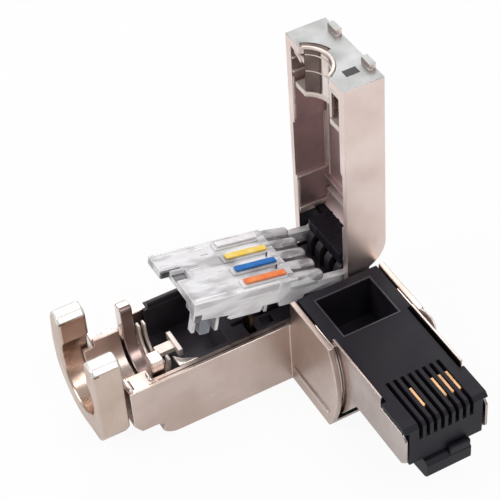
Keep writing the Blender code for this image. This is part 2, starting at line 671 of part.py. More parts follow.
def forkedContacts(finish):
    half = FORK_WIDTH / 2
    slot = FORK_SLOT / 2
    shoulder = fork_top - FORK_LEAD
    slot_bottom = fork_top - FORK_SLOT_DEPTH
    for number, (place, row) in enumerate(forkPlaces(), start=1):
        outline = [(row - half, carrier_bottom), (row + half, carrier_bottom), (row + half, shoulder)]
        outline += [(row + half - FORK_LEAD / 2, fork_top), (row + FORK_LEAD, fork_top)]
        outline += [(row + slot, shoulder), (row + slot, slot_bottom)]
        outline += [(row - slot, slot_bottom), (row - slot, shoulder)]
        outline += [(row - FORK_LEAD, fork_top), (row - half + FORK_LEAD / 2, fork_top)]
        outline += [(row - half, shoulder)]
        fork = prism(outline, "X", place - FORK_THICKNESS / 2, place + FORK_THICKNESS / 2)
        solid(f"fork_contact_{number}", finish, [fork])


def coverShell(finish, pivot):
    # Drawn shut, from the hinge pin: -X is towards the cable, +Z is up
    corner = (-COVER_END_GAP - COVER_CORNER_RADIUS, roof_height - COVER_CORNER_RADIUS)
    meet = math.degrees(math.asin((EYE_RADIUS - corner[1]) / COVER_CORNER_RADIUS))
    side = [(cover_left, cover_edge), (0, cover_edge)]
    side += arc((0, 0), EYE_RADIUS, -90, 90)
    side += arc(corner, COVER_CORNER_RADIUS, meet, 90, 8)
    side += [(cover_left, roof_height)]
    shapes = [prism(side, "Y", -body_half, body_half)]
    for spread in (COVER_NUB_INSET - body_half, body_half - COVER_NUB_INSET):
        near = spread - COVER_NUB_WIDTH / 2
        shapes.append(box((cover_left - COVER_NUB_LENGTH, cover_left + MM), (near, near + COVER_NUB_WIDTH),
                          (ceiling, roof_height)))

    # The hollow, with a rib left standing across the roof
    below = cover_edge - MM
    inner_left = cover_left + COVER_WALL
    inner_right = -COVER_END_GAP - COVER_ROOF
    rib_left = -COVER_RIB_FROM_PIN
    rib_right = rib_left + COVER_RIB_THICKNESS
    rib_bottom = ceiling - COVER_RIB_HEIGHT
    hollow = [(inner_left, below), (inner_right, below), (inner_right, corner[1])]
    hollow += arc(corner, COVER_CORNER_RADIUS - COVER_ROOF, 0, 90, 8)[1:]
    hollow += [(rib_right, ceiling), (rib_right, rib_bottom), (rib_left, rib_bottom), (rib_left, ceiling)]
    hollow += [(inner_left, ceiling)]
    cuts = [prism(hollow, "Y", -cover_inner_half, cover_inner_half)]
    beyond = EYE_RADIUS + MM
    cuts.append(box((inner_right - MM, beyond), (-cover_inner_half, cover_inner_half),
                    (-2 * EYE_RADIUS, COVER_END_LIP)))
    cuts.append(box((-COVER_END_GAP, beyond), (-cover_inner_half, cover_inner_half),
                    (-2 * EYE_RADIUS, beyond)))
    cuts.append(rod("Y", (0, 0), pin_bore, -body_half - MM, body_half + MM, 12))
    entry = (0, cable_height - hinge_height)
    cuts.append(rod("X", entry, TROUGH_RADIUS, cover_left - MM, inner_left + MM, 24))
    recess_half = cover_inner_half + COVER_RECESS_DEPTH
    recess_right = COVER_RECESS_LENGTH - COVER_RECESS_LEFT
    cuts.append(box((-COVER_RECESS_LEFT, recess_right), (-recess_half, recess_half),
                    (below, ceiling - CLEARANCE)))
    return solid("cover_shell", finish, shapes, cuts, pivot)


def coverClamp(finish, pivot):
    half = cover_inner_half - CLEARANCE
    left = cover_left + COVER_WALL + CLEARANCE
    plate_top = ceiling - CLEARANCE
    plate_middle = plate_top - CLAMP_SHEET / 2
    edge = cover_edge + CLEARANCE
    entry = cable_height - hinge_height
    rise = math.degrees(math.asin((edge - entry) / CABLE_RADIUS))
    shapes = [box((left, clamp_right), (-half, half), (plate_top - CLAMP_SHEET, plate_top))]
    for rib_left in (left, clamp_right - CLAMP_RIB):
        rib = [(half, plate_middle), (-half, plate_middle), (-half, edge)]
        rib += arc((0, entry), CABLE_RADIUS, 180 - rise, rise, 10)
        rib += [(half, edge)]
        shapes.append(prism(rib, "X", rib_left, rib_left + CLAMP_RIB))
    return solid("cover_clamp", finish, shapes, pivot=pivot)


def wireGuide(finish, pivot):
    near = -guide_half
    top = GUIDE_DECK_TOP
    deck_bottom = top - GUIDE_DECK_THICKNESS
    middle = deck_bottom + GUIDE_DECK_THICKNESS / 2
    ridge_left = -GUIDE_RIDGE_START
    block_left = guide_near_left + GUIDE_BLOCK_INSET
    block_near = near + GUIDE_WALL / 2

    # Deck, the longer far arm, and the block that the wires run through
    shapes = [box((guide_near_left, ridge_left + MM), (near, guide_half), (deck_bottom, top))]
    shapes.append(box((guide_left, guide_near_left + MM), (slit_place, guide_half), (deck_bottom, top)))
    shapes.append(box((block_left, -GUIDE_RIGHT - CLEARANCE), (block_near, guide_half - GUIDE_LOWER_INSET),
                      (-GUIDE_BOTTOM, middle)))
    shapes.append(box((guide_near_left + GUIDE_FIRST_LEG, block_left + MM),
                      (block_near, block_near + GUIDE_BLOCK_INSET), (-GUIDE_BOTTOM / 2, middle)))

    # Near wall with its two feet
    slope = GUIDE_FOOT_SLOPE
    skirt = [(guide_near_left, middle), (guide_near_left, -GUIDE_BOTTOM / 2)]
    second_foot_left = first_foot_right + GUIDE_FEET_GAP
    feet_right = -GUIDE_FEET_END
    skirt += [(feet_left - slope, -GUIDE_BOTTOM), (feet_left, -GUIDE_SKIRT_BOTTOM)]
    skirt += [(first_foot_right, -GUIDE_SKIRT_BOTTOM), (first_foot_right + slope, -GUIDE_BOTTOM)]
    skirt += [(second_foot_left - slope, -GUIDE_BOTTOM), (second_foot_left, -GUIDE_SKIRT_BOTTOM)]
    skirt += [(feet_right, -GUIDE_SKIRT_BOTTOM), (feet_right + slope, 0)]
    skirt += [(feet_right + slope, deck_bottom), (ridge_left, middle)]
    shapes.append(prism(skirt, "Y", near, near + GUIDE_WALL))

    # Round ridges over the wires, near the hinge
    for number in range(GUIDE_RIDGE_COUNT):
        row = (number - (GUIDE_RIDGE_COUNT - 1) / 2) * ridge_pitch
        axis_place = (row, top - GUIDE_RIDGE_RADIUS)
        shapes.append(rod("X", axis_place, GUIDE_RIDGE_RADIUS, ridge_left, -GUIDE_RIGHT, 12))

    # Arms with the eyes for the hinge pin
    for side_sign in (-1, 1):
        outer = side_sign * guide_half
        reach = sorted((outer, outer - side_sign * GUIDE_ARM_WIDTH))
        arm = [(ridge_left, -GUIDE_ARM_BOTTOM)]
        arm += arc((0, 0), GUIDE_EYE_RADIUS, -146, 140, 12)
        arm += [(-GUIDE_EYE_RADIUS - GUIDE_ARM_TOP, GUIDE_ARM_TOP), (ridge_left, GUIDE_ARM_TOP)]
        shapes.append(prism(arm, "Y", reach[0], reach[1]))

    # Legs and the tapered post that reach down into the carrier
    for leg_left, drop in ((guide_near_left + GUIDE_FIRST_LEG, GUIDE_FIRST_LEG_DROP),
                           (guide_near_left + GUIDE_SECOND_LEG, GUIDE_SECOND_LEG_DROP),
                           (-GUIDE_CLIP_LEG, GUIDE_CLIP_LEG_DROP)):
        shapes.append(box((leg_left, leg_left + GUIDE_LEG_WIDTH), (leg_near, leg_near + GUIDE_LEG_DEPTH),
                          (-drop, 0)))
    post_left = guide_near_left + GUIDE_POST_START
    post_right = post_left + GUIDE_POST_LENGTH
    post = [(post_left, 0), (post_left + GUIDE_POST_TAPER, -GUIDE_POST_DROP)]
    post += [(post_right - GUIDE_POST_TAPER, -GUIDE_POST_DROP), (post_right, 0)]
    shapes.append(prism(post, "Y", leg_near, leg_near + GUIDE_POST_DEPTH))

    # Bores for the pin and the wires, slots over the forks, slit and pocket at the far arm
    over = top + MM
    cuts = [rod("Y", (0, 0), pin_bore, near - MM, guide_half + MM, 12)]
    for row in wireRows():
        cuts.append(rod("X", (row, GUIDE_BORE_HEIGHT), WIRE_BORE, guide_near_left - MM,
                        -GUIDE_RIGHT + MM, 10))
    wide = FORK_WIDTH / 2 + CLEARANCE
    thick = FORK_THICKNESS / 2 + GUIDE_FORK_CLEARANCE
    for place, row in forkPlaces():
        offset = place - hinge_x
        cuts.append(box((offset - thick, offset + thick), (row - wide, row + wide),
                        (-2 * GUIDE_BOTTOM, fork_top - hinge_height + 2 * CLEARANCE)))
    cuts.append(box((guide_left - MM, guide_left + GUIDE_SLIT_LENGTH),
                    (slit_place - GUIDE_SLIT_WIDTH, slit_place), (-GUIDE_BOTTOM, over)))
    pocket_far = slit_place - 2 * GUIDE_SLIT_WIDTH
    cuts.append(box((guide_near_left - MM, guide_near_left + GUIDE_POCKET_LENGTH),
                    (pocket_far - GUIDE_POCKET_WIDTH, pocket_far), (middle, over)))
    slant_left = GUIDE_RIDGE_SLANT + GUIDE_RIGHT
    slant = [(-slant_left, top + CLEARANCE / 3), (MM - GUIDE_RIGHT, top + CLEARANCE / 3)]
    slant += [(MM - GUIDE_RIGHT, deck_bottom), (-GUIDE_RIGHT, deck_bottom)]
    cuts.append(prism(slant, "Y", near - MM, guide_half + MM))
    return solid("wire_guide", finish, shapes, cuts, pivot)


def wireMarks(finishes, pivot):
    bottom = GUIDE_DECK_TOP + CLEARANCE
    half = MARK_WIDTH / 2
    for row, (name, finish) in zip(wireRows(), finishes):
        mark = box((-MARK_RIGHT - MARK_LENGTH, -MARK_RIGHT), (row - half, row + half),
                   (bottom, bottom + MARK_THICKNESS))
        solid(name, finish, [mark], pivot=pivot)


def hingePin(finish):
    reach = body_half - CLEARANCE
    return solid("hinge_pin", finish, [rod("Y", (hinge_x, hinge_height), PIN_RADIUS, -reach, reach, 12)])


def build():
    clearScene()
    nickel = material("nickel", (0.66, 0.58, 0.54), 0.32, 1.0)
    bright = material("bright_nickel", (0.78, 0.72, 0.69), 0.2, 1.0)
    black = material("black_plastic", (0.02, 0.02, 0.024), 0.42, 0.0)
    gold = material("gold", (0.83, 0.6, 0.27), 0.25, 1.0)
    green = material("board_green", (0.05, 0.2, 0.09), 0.5, 0.0)
    clear = material("clear_plastic", (0.85, 0.86, 0.88), 0.12, 0.0, 0.45)
    orange = material("orange_mark", (0.9, 0.28, 0.08), 0.5, 0.0)
    blue = material("blue_mark", (0.03, 0.2, 0.55), 0.5, 0.0)
    yellow = material("yellow_mark", (0.9, 0.65, 0.1), 0.5, 0.0)
    white = material("white_mark", (0.85, 0.84, 0.84), 0.5, 0.0)

    baseShell(nickel)
    cableSaddle(bright)
    shieldContact(bright)
    contactBoard(green)
    contactCarrier(black)
    forkedContacts(gold)
    plugBody(black)
    contactBlades(gold)
    plugShield(bright)
    hingePin(bright)
    latchLever(black)
    lockRing(nickel)

    hinge_place = (hinge_x, 0, hinge_height)
    cover_pivot = pivotAt("cover_pivot", hinge_place, (0, COVER_OPEN_ANGLE, 0))
    coverShell(nickel, cover_pivot)
    coverClamp(bright, cover_pivot)

    guide_pivot = pivotAt("guide_pivot", hinge_place, (0, GUIDE_TILT, 0))
    wireGuide(clear, guide_pivot)
    wireMarks((("wire_mark_orange", orange), ("wire_mark_blue", blue),
               ("wire_mark_yellow", yellow), ("wire_mark_white", white)), guide_pivot)


build()
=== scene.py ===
import json
import math

import bmesh
import bpy
from mathutils import Matrix, Vector

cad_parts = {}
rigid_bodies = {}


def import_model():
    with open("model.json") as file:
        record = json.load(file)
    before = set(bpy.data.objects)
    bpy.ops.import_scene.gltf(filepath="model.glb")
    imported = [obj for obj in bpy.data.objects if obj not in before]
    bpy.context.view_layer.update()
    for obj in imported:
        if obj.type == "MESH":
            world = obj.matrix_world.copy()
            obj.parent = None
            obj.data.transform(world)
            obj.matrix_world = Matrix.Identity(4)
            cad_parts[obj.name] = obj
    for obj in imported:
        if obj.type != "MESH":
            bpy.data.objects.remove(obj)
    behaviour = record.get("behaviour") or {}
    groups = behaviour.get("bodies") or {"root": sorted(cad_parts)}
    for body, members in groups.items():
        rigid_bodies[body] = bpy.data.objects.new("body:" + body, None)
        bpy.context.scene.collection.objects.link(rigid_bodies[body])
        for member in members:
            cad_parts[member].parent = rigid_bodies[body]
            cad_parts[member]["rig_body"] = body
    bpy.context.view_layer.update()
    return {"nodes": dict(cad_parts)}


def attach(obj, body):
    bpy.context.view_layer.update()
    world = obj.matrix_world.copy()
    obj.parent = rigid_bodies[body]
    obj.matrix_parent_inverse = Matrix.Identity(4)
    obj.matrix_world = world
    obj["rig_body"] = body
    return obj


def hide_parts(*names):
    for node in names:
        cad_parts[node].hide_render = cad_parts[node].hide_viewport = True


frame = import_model()
nodes = frame["nodes"]
mm = 0.001
print("frame loaded:", len(nodes), "nodes")


# Camera: the photograph's direction, lens in millimetres, lengths in millimetres

camera = {
    "lens": 127.8,
    "target": (-11.75, -4.85, 10.0),
    "distance": 226.9,
    "elevation": 44.27,
    "turn": 25.44,
    "roll": -4.67,
    "sideways": 0.92,
    "upwards": 10.31,
    "clipping": (0.001, 10),
}


def placeCamera(values):
    elevation = math.radians(values["elevation"])
    turn = math.radians(values["turn"])
    roll = math.radians(values["roll"])
    level = math.cos(elevation)
    forward = Vector((math.sin(turn) * level, math.cos(turn) * level, -math.sin(elevation)))
    right = Vector((math.cos(turn), -math.sin(turn), 0))
    up = right.cross(forward)
    place = Vector(values["target"]) + right * values["sideways"] + up * values["upwards"]
    place = (place - forward * values["distance"]) * mm
    rolledRight = right * math.cos(roll) + up * math.sin(roll)
    rolledUp = up * math.cos(roll) - right * math.sin(roll)
    data = bpy.data.cameras.new("camera")
    data.lens = values["lens"]
    data.clip_start, data.clip_end = values["clipping"]
    made = bpy.data.objects.new("camera", data)
    bpy.context.scene.collection.objects.link(made)
    turned = Matrix((rolledRight, rolledUp, -forward)).transposed().to_4x4()
    made.matrix_world = Matrix.Translation(place) @ turned
    bpy.context.scene.camera = made


# Shared node groups; colours are written as red, green and blue

def opaque(colour):
    return (*colour, 1)


def nodeGroup(name, inputs, outputs):
    tree = bpy.data.node_groups.new(name, "ShaderNodeTree")
    for label, kind, start in inputs:
        socket = tree.interface.new_socket(label, in_out="INPUT", socket_type=kind)
        socket.default_value = start
    for label, kind in outputs:
        tree.interface.new_socket(label, in_out="OUTPUT", socket_type=kind)
    return tree, tree.nodes.new("NodeGroupInput"), tree.nodes.new("NodeGroupOutput")


def noise(tree, scale, detail, roughness=0.5):
    made = tree.nodes.new("ShaderNodeTexNoise")
    made.inputs["Detail"].default_value = detail
    made.inputs["Roughness"].default_value = roughness
    if isinstance(scale, (int, float)):
        made.inputs["Scale"].default_value = scale
    else:
        tree.links.new(scale, made.inputs["Scale"])
    return made


def mixColour(tree, share, first, second):
    # A mix node has its colours at inputs 6 and 7, and the mixed colour at output 2
    made = tree.nodes.new("ShaderNodeMix")
    made.data_type = "RGBA"
    for socket, value in ((made.inputs[0], share), (made.inputs[6], first), (made.inputs[7], second)):
        if isinstance(value, bpy.types.NodeSocket):
            tree.links.new(value, socket)
        else:
            socket.default_value = opaque(value)
    return made.outputs[2]


def spread(tree, value, low, high, newLow=0.0, newHigh=1.0):
    made = tree.nodes.new("ShaderNodeMapRange")
    tree.links.new(value, made.inputs["Value"])
    for label, amount in (("From Min", low), ("From Max", high), ("To Min", newLow), ("To Max", newHigh)):
        if isinstance(amount, bpy.types.NodeSocket):
            tree.links.new(amount, made.inputs[label])
        else:
            made.inputs[label].default_value = amount
    return made.outputs["Result"]


surfaces = {
    "plating": {"cloudScale": 180.0, "cloudDetail": 3.0, "grainScale": 9000.0, "grainDetail": 2.0,
                "grainRoughness": 0.5, "tintRange": (0.35, 0.7), "roughRange": (0.3, 0.7)},
    "moulding": {"cloudScale": 220.0, "cloudDetail": 3.0, "grainScale": 5200.0, "grainDetail": 3.0,
                 "grainRoughness": 0.6, "tintRange": (0.35, 0.68), "roughRange": (0.3, 0.7)},
}


def buildSurface(name, values):
    # A cloudy tint, a roughness that follows it, and the height of a fine grain
    grey = (0.5, 0.5, 0.5, 1)
    inputs = [("Colour", "NodeSocketColor", grey), ("Cloud", "NodeSocketColor", grey),
              ("Cloud Scale", "NodeSocketFloat", values["cloudScale"]),
              ("Grain Scale", "NodeSocketFloat", values["grainScale"]),
              ("Smooth", "NodeSocketFloat", 0.4), ("Rough", "NodeSocketFloat", 0.5)]
    outputs = [("Colour", "NodeSocketColor"), ("Roughness", "NodeSocketFloat"),
               ("Height", "NodeSocketFloat")]
    tree, start, end = nodeGroup(name, inputs, outputs)
    where = tree.nodes.new("ShaderNodeTexCoord")
    cloud = noise(tree, start.outputs["Cloud Scale"], values["cloudDetail"])
    grain = noise(tree, start.outputs["Grain Scale"], values["grainDetail"], values["grainRoughness"])
    for texture in (cloud, grain):
        tree.links.new(where.outputs["Object"], texture.inputs["Vector"])
    share = spread(tree, cloud.outputs["Fac"], *values["tintRange"])
    colour = mixColour(tree, share, start.outputs["Colour"], start.outputs["Cloud"])
    rough = spread(tree, cloud.outputs["Fac"], *values["roughRange"], start.outputs["Smooth"],
                   start.outputs["Rough"])
    tree.links.new(colour, end.inputs["Colour"])
    tree.links.new(rough, end.inputs["Roughness"])
    tree.links.new(grain.outputs["Fac"], end.inputs["Height"])
    return tree


# Edges painted bright: partly rubbed plating, partly painted highlight
edgeWearAndHighlight = {
    "width": 0.0003,
    "samples": 4,
    "breakScale": 900.0,
    "breakDetail": 2.0,
    "agreement": (0.995, 0.86),
    "breakRange": (0.25, 0.6),
    "breakShare": (0.55, 1.0),
}


def buildEdgeWearAndHighlight(values):
    # A mask that is one along the edges, painted bright there: partly rubbed plating, partly painted
    # highlight
    inputs = [("Width", "NodeSocketFloat", values["width"]),
              ("Break Scale", "NodeSocketFloat", values["breakScale"])]
    outputs = [("Mask", "NodeSocketFloat")]
    tree, start, end = nodeGroup("wornAndHighlightedEdges", inputs, outputs)
    where = tree.nodes.new("ShaderNodeTexCoord")
    rounded = tree.nodes.new("ShaderNodeBevel")
    rounded.samples = values["samples"]
    tree.links.new(start.outputs["Width"], rounded.inputs["Radius"])
    flat = tree.nodes.new("ShaderNodeNewGeometry")
    agree = tree.nodes.new("ShaderNodeVectorMath")
    agree.operation = "DOT_PRODUCT"
    tree.links.new(rounded.outputs["Normal"], agree.inputs[0])
    tree.links.new(flat.outputs["Normal"], agree.inputs[1])
    breaks = noise(tree, start.outputs["Break Scale"], values["breakDetail"])
    tree.links.new(where.outputs["Object"], breaks.inputs["Vector"])
    edge = spread(tree, agree.outputs["Value"], *values["agreement"])
    patch = spread(tree, breaks.outputs["Fac"], *values["breakRange"], *values["breakShare"])
    both = tree.nodes.new("ShaderNodeMath")
    both.operation = "MULTIPLY"
    tree.links.new(edge, both.inputs[0])
    tree.links.new(patch, both.inputs[1])
    tree.links.new(both.outputs["Value"], end.inputs["Mask"])
    return tree


groups = {"edges": buildEdgeWearAndHighlight(edgeWearAndHighlight)}
for name, values in surfaces.items():
    groups[name] = buildSurface(name, values)


# Materials

guideTilt = math.radians(12)  # how far the wire guide stands open

# Plated metals: the colour, the clouds in it and the edges painted bright, partly as rubbed plating and
# partly as painted highlight
metals = {
    "nickel": {"colour": (0.64, 0.525, 0.47), "cloud": (0.56, 0.445, 0.395), "edge": (0.95, 0.89, 0.84),
               "smooth": 0.24, "rough": 0.4, "edgeWidth": 0.0002, "bump": 0.00001},
    "ringNickel": {"colour": (0.63, 0.512, 0.438), "cloud": (0.55, 0.43, 0.36), "edge": (0.95, 0.9, 0.84),
                   "smooth": 0.24, "rough": 0.4, "edgeWidth": 0.0002, "bump": 0.00001},
    # A pale copy of the ring's nickel for its upward faces: painted highlight
    "litTineTop": {"colour": (0.95, 0.92, 0.88), "cloud": (0.84, 0.78, 0.72), "edge": (0.99, 0.97, 0.94),
                "smooth": 0.28, "rough": 0.42, "edgeWidth": 0.0002, "bump": 0.00001, "metallic": 0.55},
    # A lighter copy of the base's nickel for the cover: painted light from the brighter floor its walls
    # reflect
    "litCoverNickel": {"colour": (0.86, 0.72, 0.67), "cloud": (0.78, 0.64, 0.59), "edge": (0.97, 0.92, 0.88),
                    "smooth": 0.3, "rough": 0.46, "edgeWidth": 0.0002, "bump": 0.00001},
    "plateGrey": {"colour": (0.36, 0.365, 0.36), "cloud": (0.27, 0.27, 0.265), "edge": (0.8, 0.78, 0.78),
                  "smooth": 0.34, "rough": 0.5, "edgeWidth": 0.00015, "bump": 0.00001},
    "shieldNickel": {"colour": (0.525, 0.45, 0.425), "cloud": (0.43, 0.355, 0.33),
                     "edge": (0.98, 0.94, 0.91), "smooth": 0.16, "rough": 0.3, "edgeWidth": 0.00012,
                     "bump": 0.000004},
    "brightNickel": {"colour": (0.82, 0.75, 0.71), "cloud": (0.68, 0.58, 0.53),
                     "edge": (0.98, 0.95, 0.92), "smooth": 0.12, "rough": 0.24, "edgeWidth": 0.00012,
                     "bump": 0.000003},
    # A darker copy of the nickel for the cover's hollow side: painted shade
    "shadedInsideNickel": {"colour": (0.68, 0.54, 0.53), "cloud": (0.52, 0.4, 0.4), "edge": (0.85, 0.74, 0.7),
                     "smooth": 0.36, "rough": 0.55, "edgeWidth": 0.00015, "bump": 0.000012},
    "bronzeNickel": {"colour": (0.74, 0.58, 0.485), "cloud": (0.48, 0.355, 0.29),
                     "edge": (0.95, 0.87, 0.8), "smooth": 0.2, "rough": 0.36, "edgeWidth": 0.00015,
                     "bump": 0.00001},
    # A darker copy of the nickel for the saddle's inner sides: painted shade
    "shadeNickel": {"colour": (0.4, 0.3, 0.28), "cloud": (0.24, 0.17, 0.16), "edge": (0.9, 0.82, 0.77),
                    "smooth": 0.24, "rough": 0.4, "edgeWidth": 0.00015, "bump": 0.00001},
    # A dark brown for seams and nicks, and also painted shade on the half pipe and in the end recess
    "seamAndShadeBrown": {"colour": (0.1, 0.07, 0.062), "cloud": (0.28, 0.21, 0.19), "edge": (0.3, 0.22, 0.2),
                  "smooth": 0.35, "rough": 0.5, "edgeWidth": 0.00005, "bump": 0.00001},
    # A lighter, less metallic nickel that stays bright in the shaded hollow: painted light
    "paintedLightTrim": {"colour": (0.8, 0.7, 0.64), "cloud": (0.6, 0.5, 0.45), "edge": (0.95, 0.88, 0.82),
                  "smooth": 0.25, "rough": 0.4, "edgeWidth": 0.0001, "bump": 0.000005, "metallic": 0.4},
    "gold": {"colour": (0.52, 0.305, 0.16), "cloud": (0.26, 0.14, 0.07), "edge": (0.86, 0.63, 0.4),
             "smooth": 0.2, "rough": 0.34, "edgeWidth": 0.0001, "bump": 0.000002},
    "darkGold": {"colour": (0.07, 0.045, 0.025), "cloud": (0.04, 0.025, 0.014), "edge": (0.2, 0.13, 0.07),
                 "smooth": 0.3, "rough": 0.45, "edgeWidth": 0.0001, "bump": 0.000002},
}

plastics = {
    "blackPlastic": {"colour": (0.0085, 0.0072, 0.0115), "cloud": (0.015, 0.0125, 0.02), "smooth": 0.42,
                     "rough": 0.56, "bump": 0.000008, "gloss": 0.26},
    "trayPlastic": {"colour": (0.028, 0.0235, 0.029), "cloud": (0.052, 0.044, 0.053), "smooth": 0.34,
                    "rough": 0.5, "bump": 0.000012, "gloss": 0.34},
    # A duller black for the plug's pocket and slots: painted shade
    "deepBlack": {"colour": (0.009, 0.0075, 0.0105), "cloud": (0.015, 0.012, 0.017), "smooth": 0.45,
                  "rough": 0.6, "bump": 0.000006, "gloss": 0.22},
    # A lighter black: print-like ticks on the guide, and painted highlights on the pocket's rim, the peg and
    # the foot block's lines
    "rimPlastic": {"colour": (0.035, 0.033, 0.042), "cloud": (0.06, 0.057, 0.07), "smooth": 0.3,
                   "rough": 0.45, "bump": 0.000006, "gloss": 0.4},
    "boardGreen": {"colour": (0.03, 0.14, 0.07), "cloud": (0.04, 0.2, 0.1), "smooth": 0.3, "rough": 0.45,
                   "bump": 0.000005, "gloss": 0.5},
    "orangeMark": {"colour": (0.87, 0.18, 0.045), "cloud": (0.95, 0.32, 0.12), "smooth": 0.35,
                   "rough": 0.5, "bump": 0.000008, "gloss": 0.2, "cloudScale": 900.0},
    "blueMark": {"colour": (0.008, 0.13, 0.46), "cloud": (0.03, 0.2, 0.55), "smooth": 0.35, "rough": 0.5,
                 "bump": 0.000008, "gloss": 0.2, "cloudScale": 900.0},
    "yellowMark": {"colour": (0.93, 0.62, 0.06), "cloud": (0.95, 0.74, 0.25), "smooth": 0.35,
                   "rough": 0.5, "bump": 0.000008, "gloss": 0.2, "cloudScale": 900.0},
    "whiteMark": {"colour": (0.92, 0.9, 0.92), "cloud": (0.84, 0.8, 0.84), "smooth": 0.35, "rough": 0.5,
                  "bump": 0.000008, "gloss": 0.2, "cloudScale": 900.0},
}

# Clear plastics: streaks lie along the wires, a random tone that also paints the glassy reflections, and
# ripples bend the light
clears = {
    "clearPlastic": {"clear": (0.94, 0.93, 0.945), "streak": (0.5, 0.48, 0.495), "edge": (1, 1, 1),
                     "stretch": (0.45, 1, 1), "streakScale": 420.0, "rippleScale": 420.0,
                     "edgeWidth": 0.00035, "smooth": 0.03, "rough": 0.16, "transmission": 0.28,
                     "bump": 0.0006},
    "ridgeClear": {"clear": (0.92, 0.91, 0.93), "streak": (0.4, 0.38, 0.4), "edge": (0.95, 0.95, 0.97),
                   "stretch": (0.2, 1, 1), "streakScale": 900.0, "rippleScale": 600.0,
                   "edgeWidth": 0.00016, "smooth": 0.04, "rough": 0.18, "transmission": 0.35,
                   "bump": 0.0002},
    # A lighter copy of the clear plastic for the guide's near wall: painted light
    "litNearWallClear": {"clear": (1, 0.99, 1), "streak": (0.72, 0.69, 0.71), "edge": (1, 1, 1),
                  "stretch": (0.3, 1, 1), "streakScale": 600.0, "rippleScale": 420.0, "edgeWidth": 0.0003,
                  "smooth": 0.05, "rough": 0.2, "transmission": 0.08, "bump": 0.0004},
    "glintWhite": {"clear": (1, 1, 1), "streak": (0.94, 0.93, 0.95), "edge": (1, 1, 1),
                   "stretch": (0.4, 1, 1), "streakScale": 700.0, "rippleScale": 600.0,
                   "edgeWidth": 0.0001, "smooth": 0.05, "rough": 0.2, "transmission": 0.05,
                   "bump": 0.0001},
    # A dark clear for strips in the ridge valleys, the slit and the pocket: painted shade
    "paintedShadeClear": {"clear": (0.2, 0.19, 0.2), "streak": (0.09, 0.085, 0.09), "edge": (0.6, 0.6, 0.63),
                    "stretch": (0.3, 1, 1), "streakScale": 900.0, "rippleScale": 700.0,
                    "edgeWidth": 0.00012, "smooth": 0.1, "rough": 0.3, "transmission": 0.3,
                    "bump": 0.00008},
    "postTint": {"clear": (0.42, 0.46, 0.52), "streak": (0.2, 0.22, 0.27), "edge": (0.95, 0.96, 1),
                 "stretch": (1, 1, 0.25), "streakScale": 900.0, "rippleScale": 700.0,
                 "edgeWidth": 0.00016, "smooth": 0.08, "rough": 0.25, "transmission": 0.5,
                 "bump": 0.00008},
}
clearPattern = {
    "streakDetail": 2.0,
    "rippleDetail": 1.0,
    "streakRange": (0.46, 0.62),
    "roughRange": (0.3, 0.7),
    "bending": 1.5,
}


def startMaterial(name):
    made = bpy.data.materials.new(name)
    made.use_nodes = True
    return made, made.node_tree, made.node_tree.nodes["Principled BSDF"]


def placeGroup(tree, key, values):
    made = tree.nodes.new("ShaderNodeGroup")
    made.node_tree = groups[key]
    for label, value in values.items():
        made.inputs[label].default_value = value
    return made


def addBump(tree, shader, height, distance, strength=0.6):
    bump = tree.nodes.new("ShaderNodeBump")
    bump.inputs["Distance"].default_value = distance
    bump.inputs["Strength"].default_value = strength
    tree.links.new(height, bump.inputs["Height"])
    tree.links.new(bump.outputs["Normal"], shader.inputs["Normal"])


def placeSurface(tree, shader, key, values):
    # The roughness and the grain go to the shader, and the colour is handed on
    inputs = {"Colour": opaque(values["colour"]), "Cloud": opaque(values["cloud"]),
              "Smooth": values["smooth"], "Rough": values["rough"]}
    if "cloudScale" in values:
        inputs["Cloud Scale"] = values["cloudScale"]
    surface = placeGroup(tree, key, inputs)
    tree.links.new(surface.outputs["Roughness"], shader.inputs["Roughness"])
    addBump(tree, shader, surface.outputs["Height"], values["bump"])
    return surface.outputs["Colour"]


def paintEdgeWearAndHighlight(tree, shader, colour, values):
    edges = placeGroup(tree, "edges", {"Width": values["edgeWidth"]})
    mixed = mixColour(tree, edges.outputs["Mask"], colour, values["edge"])
    tree.links.new(mixed, shader.inputs["Base Color"])


def metal(name, values):
    made, tree, shader = startMaterial(name)
    paintEdgeWearAndHighlight(tree, shader, placeSurface(tree, shader, "plating", values), values)
    shader.inputs["Metallic"].default_value = values.get("metallic", 1.0)
    return made


def plastic(name, values):
    made, tree, shader = startMaterial(name)
    tree.links.new(placeSurface(tree, shader, "moulding", values), shader.inputs["Base Color"])
    shader.inputs["Specular IOR Level"].default_value = values["gloss"]
    return made


def clearMoulding(name, values):
    # The pattern is turned to the tilt of the guide and drawn out along the wires
    made, tree, shader = startMaterial(name)
    where = tree.nodes.new("ShaderNodeTexCoord")
    turned = tree.nodes.new("ShaderNodeMapping")
    turned.inputs["Rotation"].default_value = (0, -guideTilt, 0)
    turned.inputs["Scale"].default_value = values["stretch"]
    tree.links.new(where.outputs["Object"], turned.inputs["Vector"])
    streaks = noise(tree, values["streakScale"], clearPattern["streakDetail"])
    ripples = noise(tree, values["rippleScale"], clearPattern["rippleDetail"])
    for texture in (streaks, ripples):
        tree.links.new(turned.outputs["Vector"], texture.inputs["Vector"])
    share = spread(tree, streaks.outputs["Fac"], *clearPattern["streakRange"])
    paintEdgeWearAndHighlight(tree, shader, mixColour(tree, share, values["clear"], values["streak"]), values)
    rough = spread(tree, ripples.outputs["Fac"], *clearPattern["roughRange"], values["smooth"],
                   values["rough"])
    tree.links.new(rough, shader.inputs["Roughness"])
    shader.inputs["IOR"].default_value = clearPattern["bending"]
    shader.inputs["Transmission Weight"].default_value = values["transmission"]
    addBump(tree, shader, ripples.outputs["Fac"], values["bump"])
    return made


skins = {}
for build, table in ((metal, metals), (plastic, plastics), (clearMoulding, clears)):
    for name, values in table.items():
        skins[name] = build(name, values)
print("materials made:", len(skins))


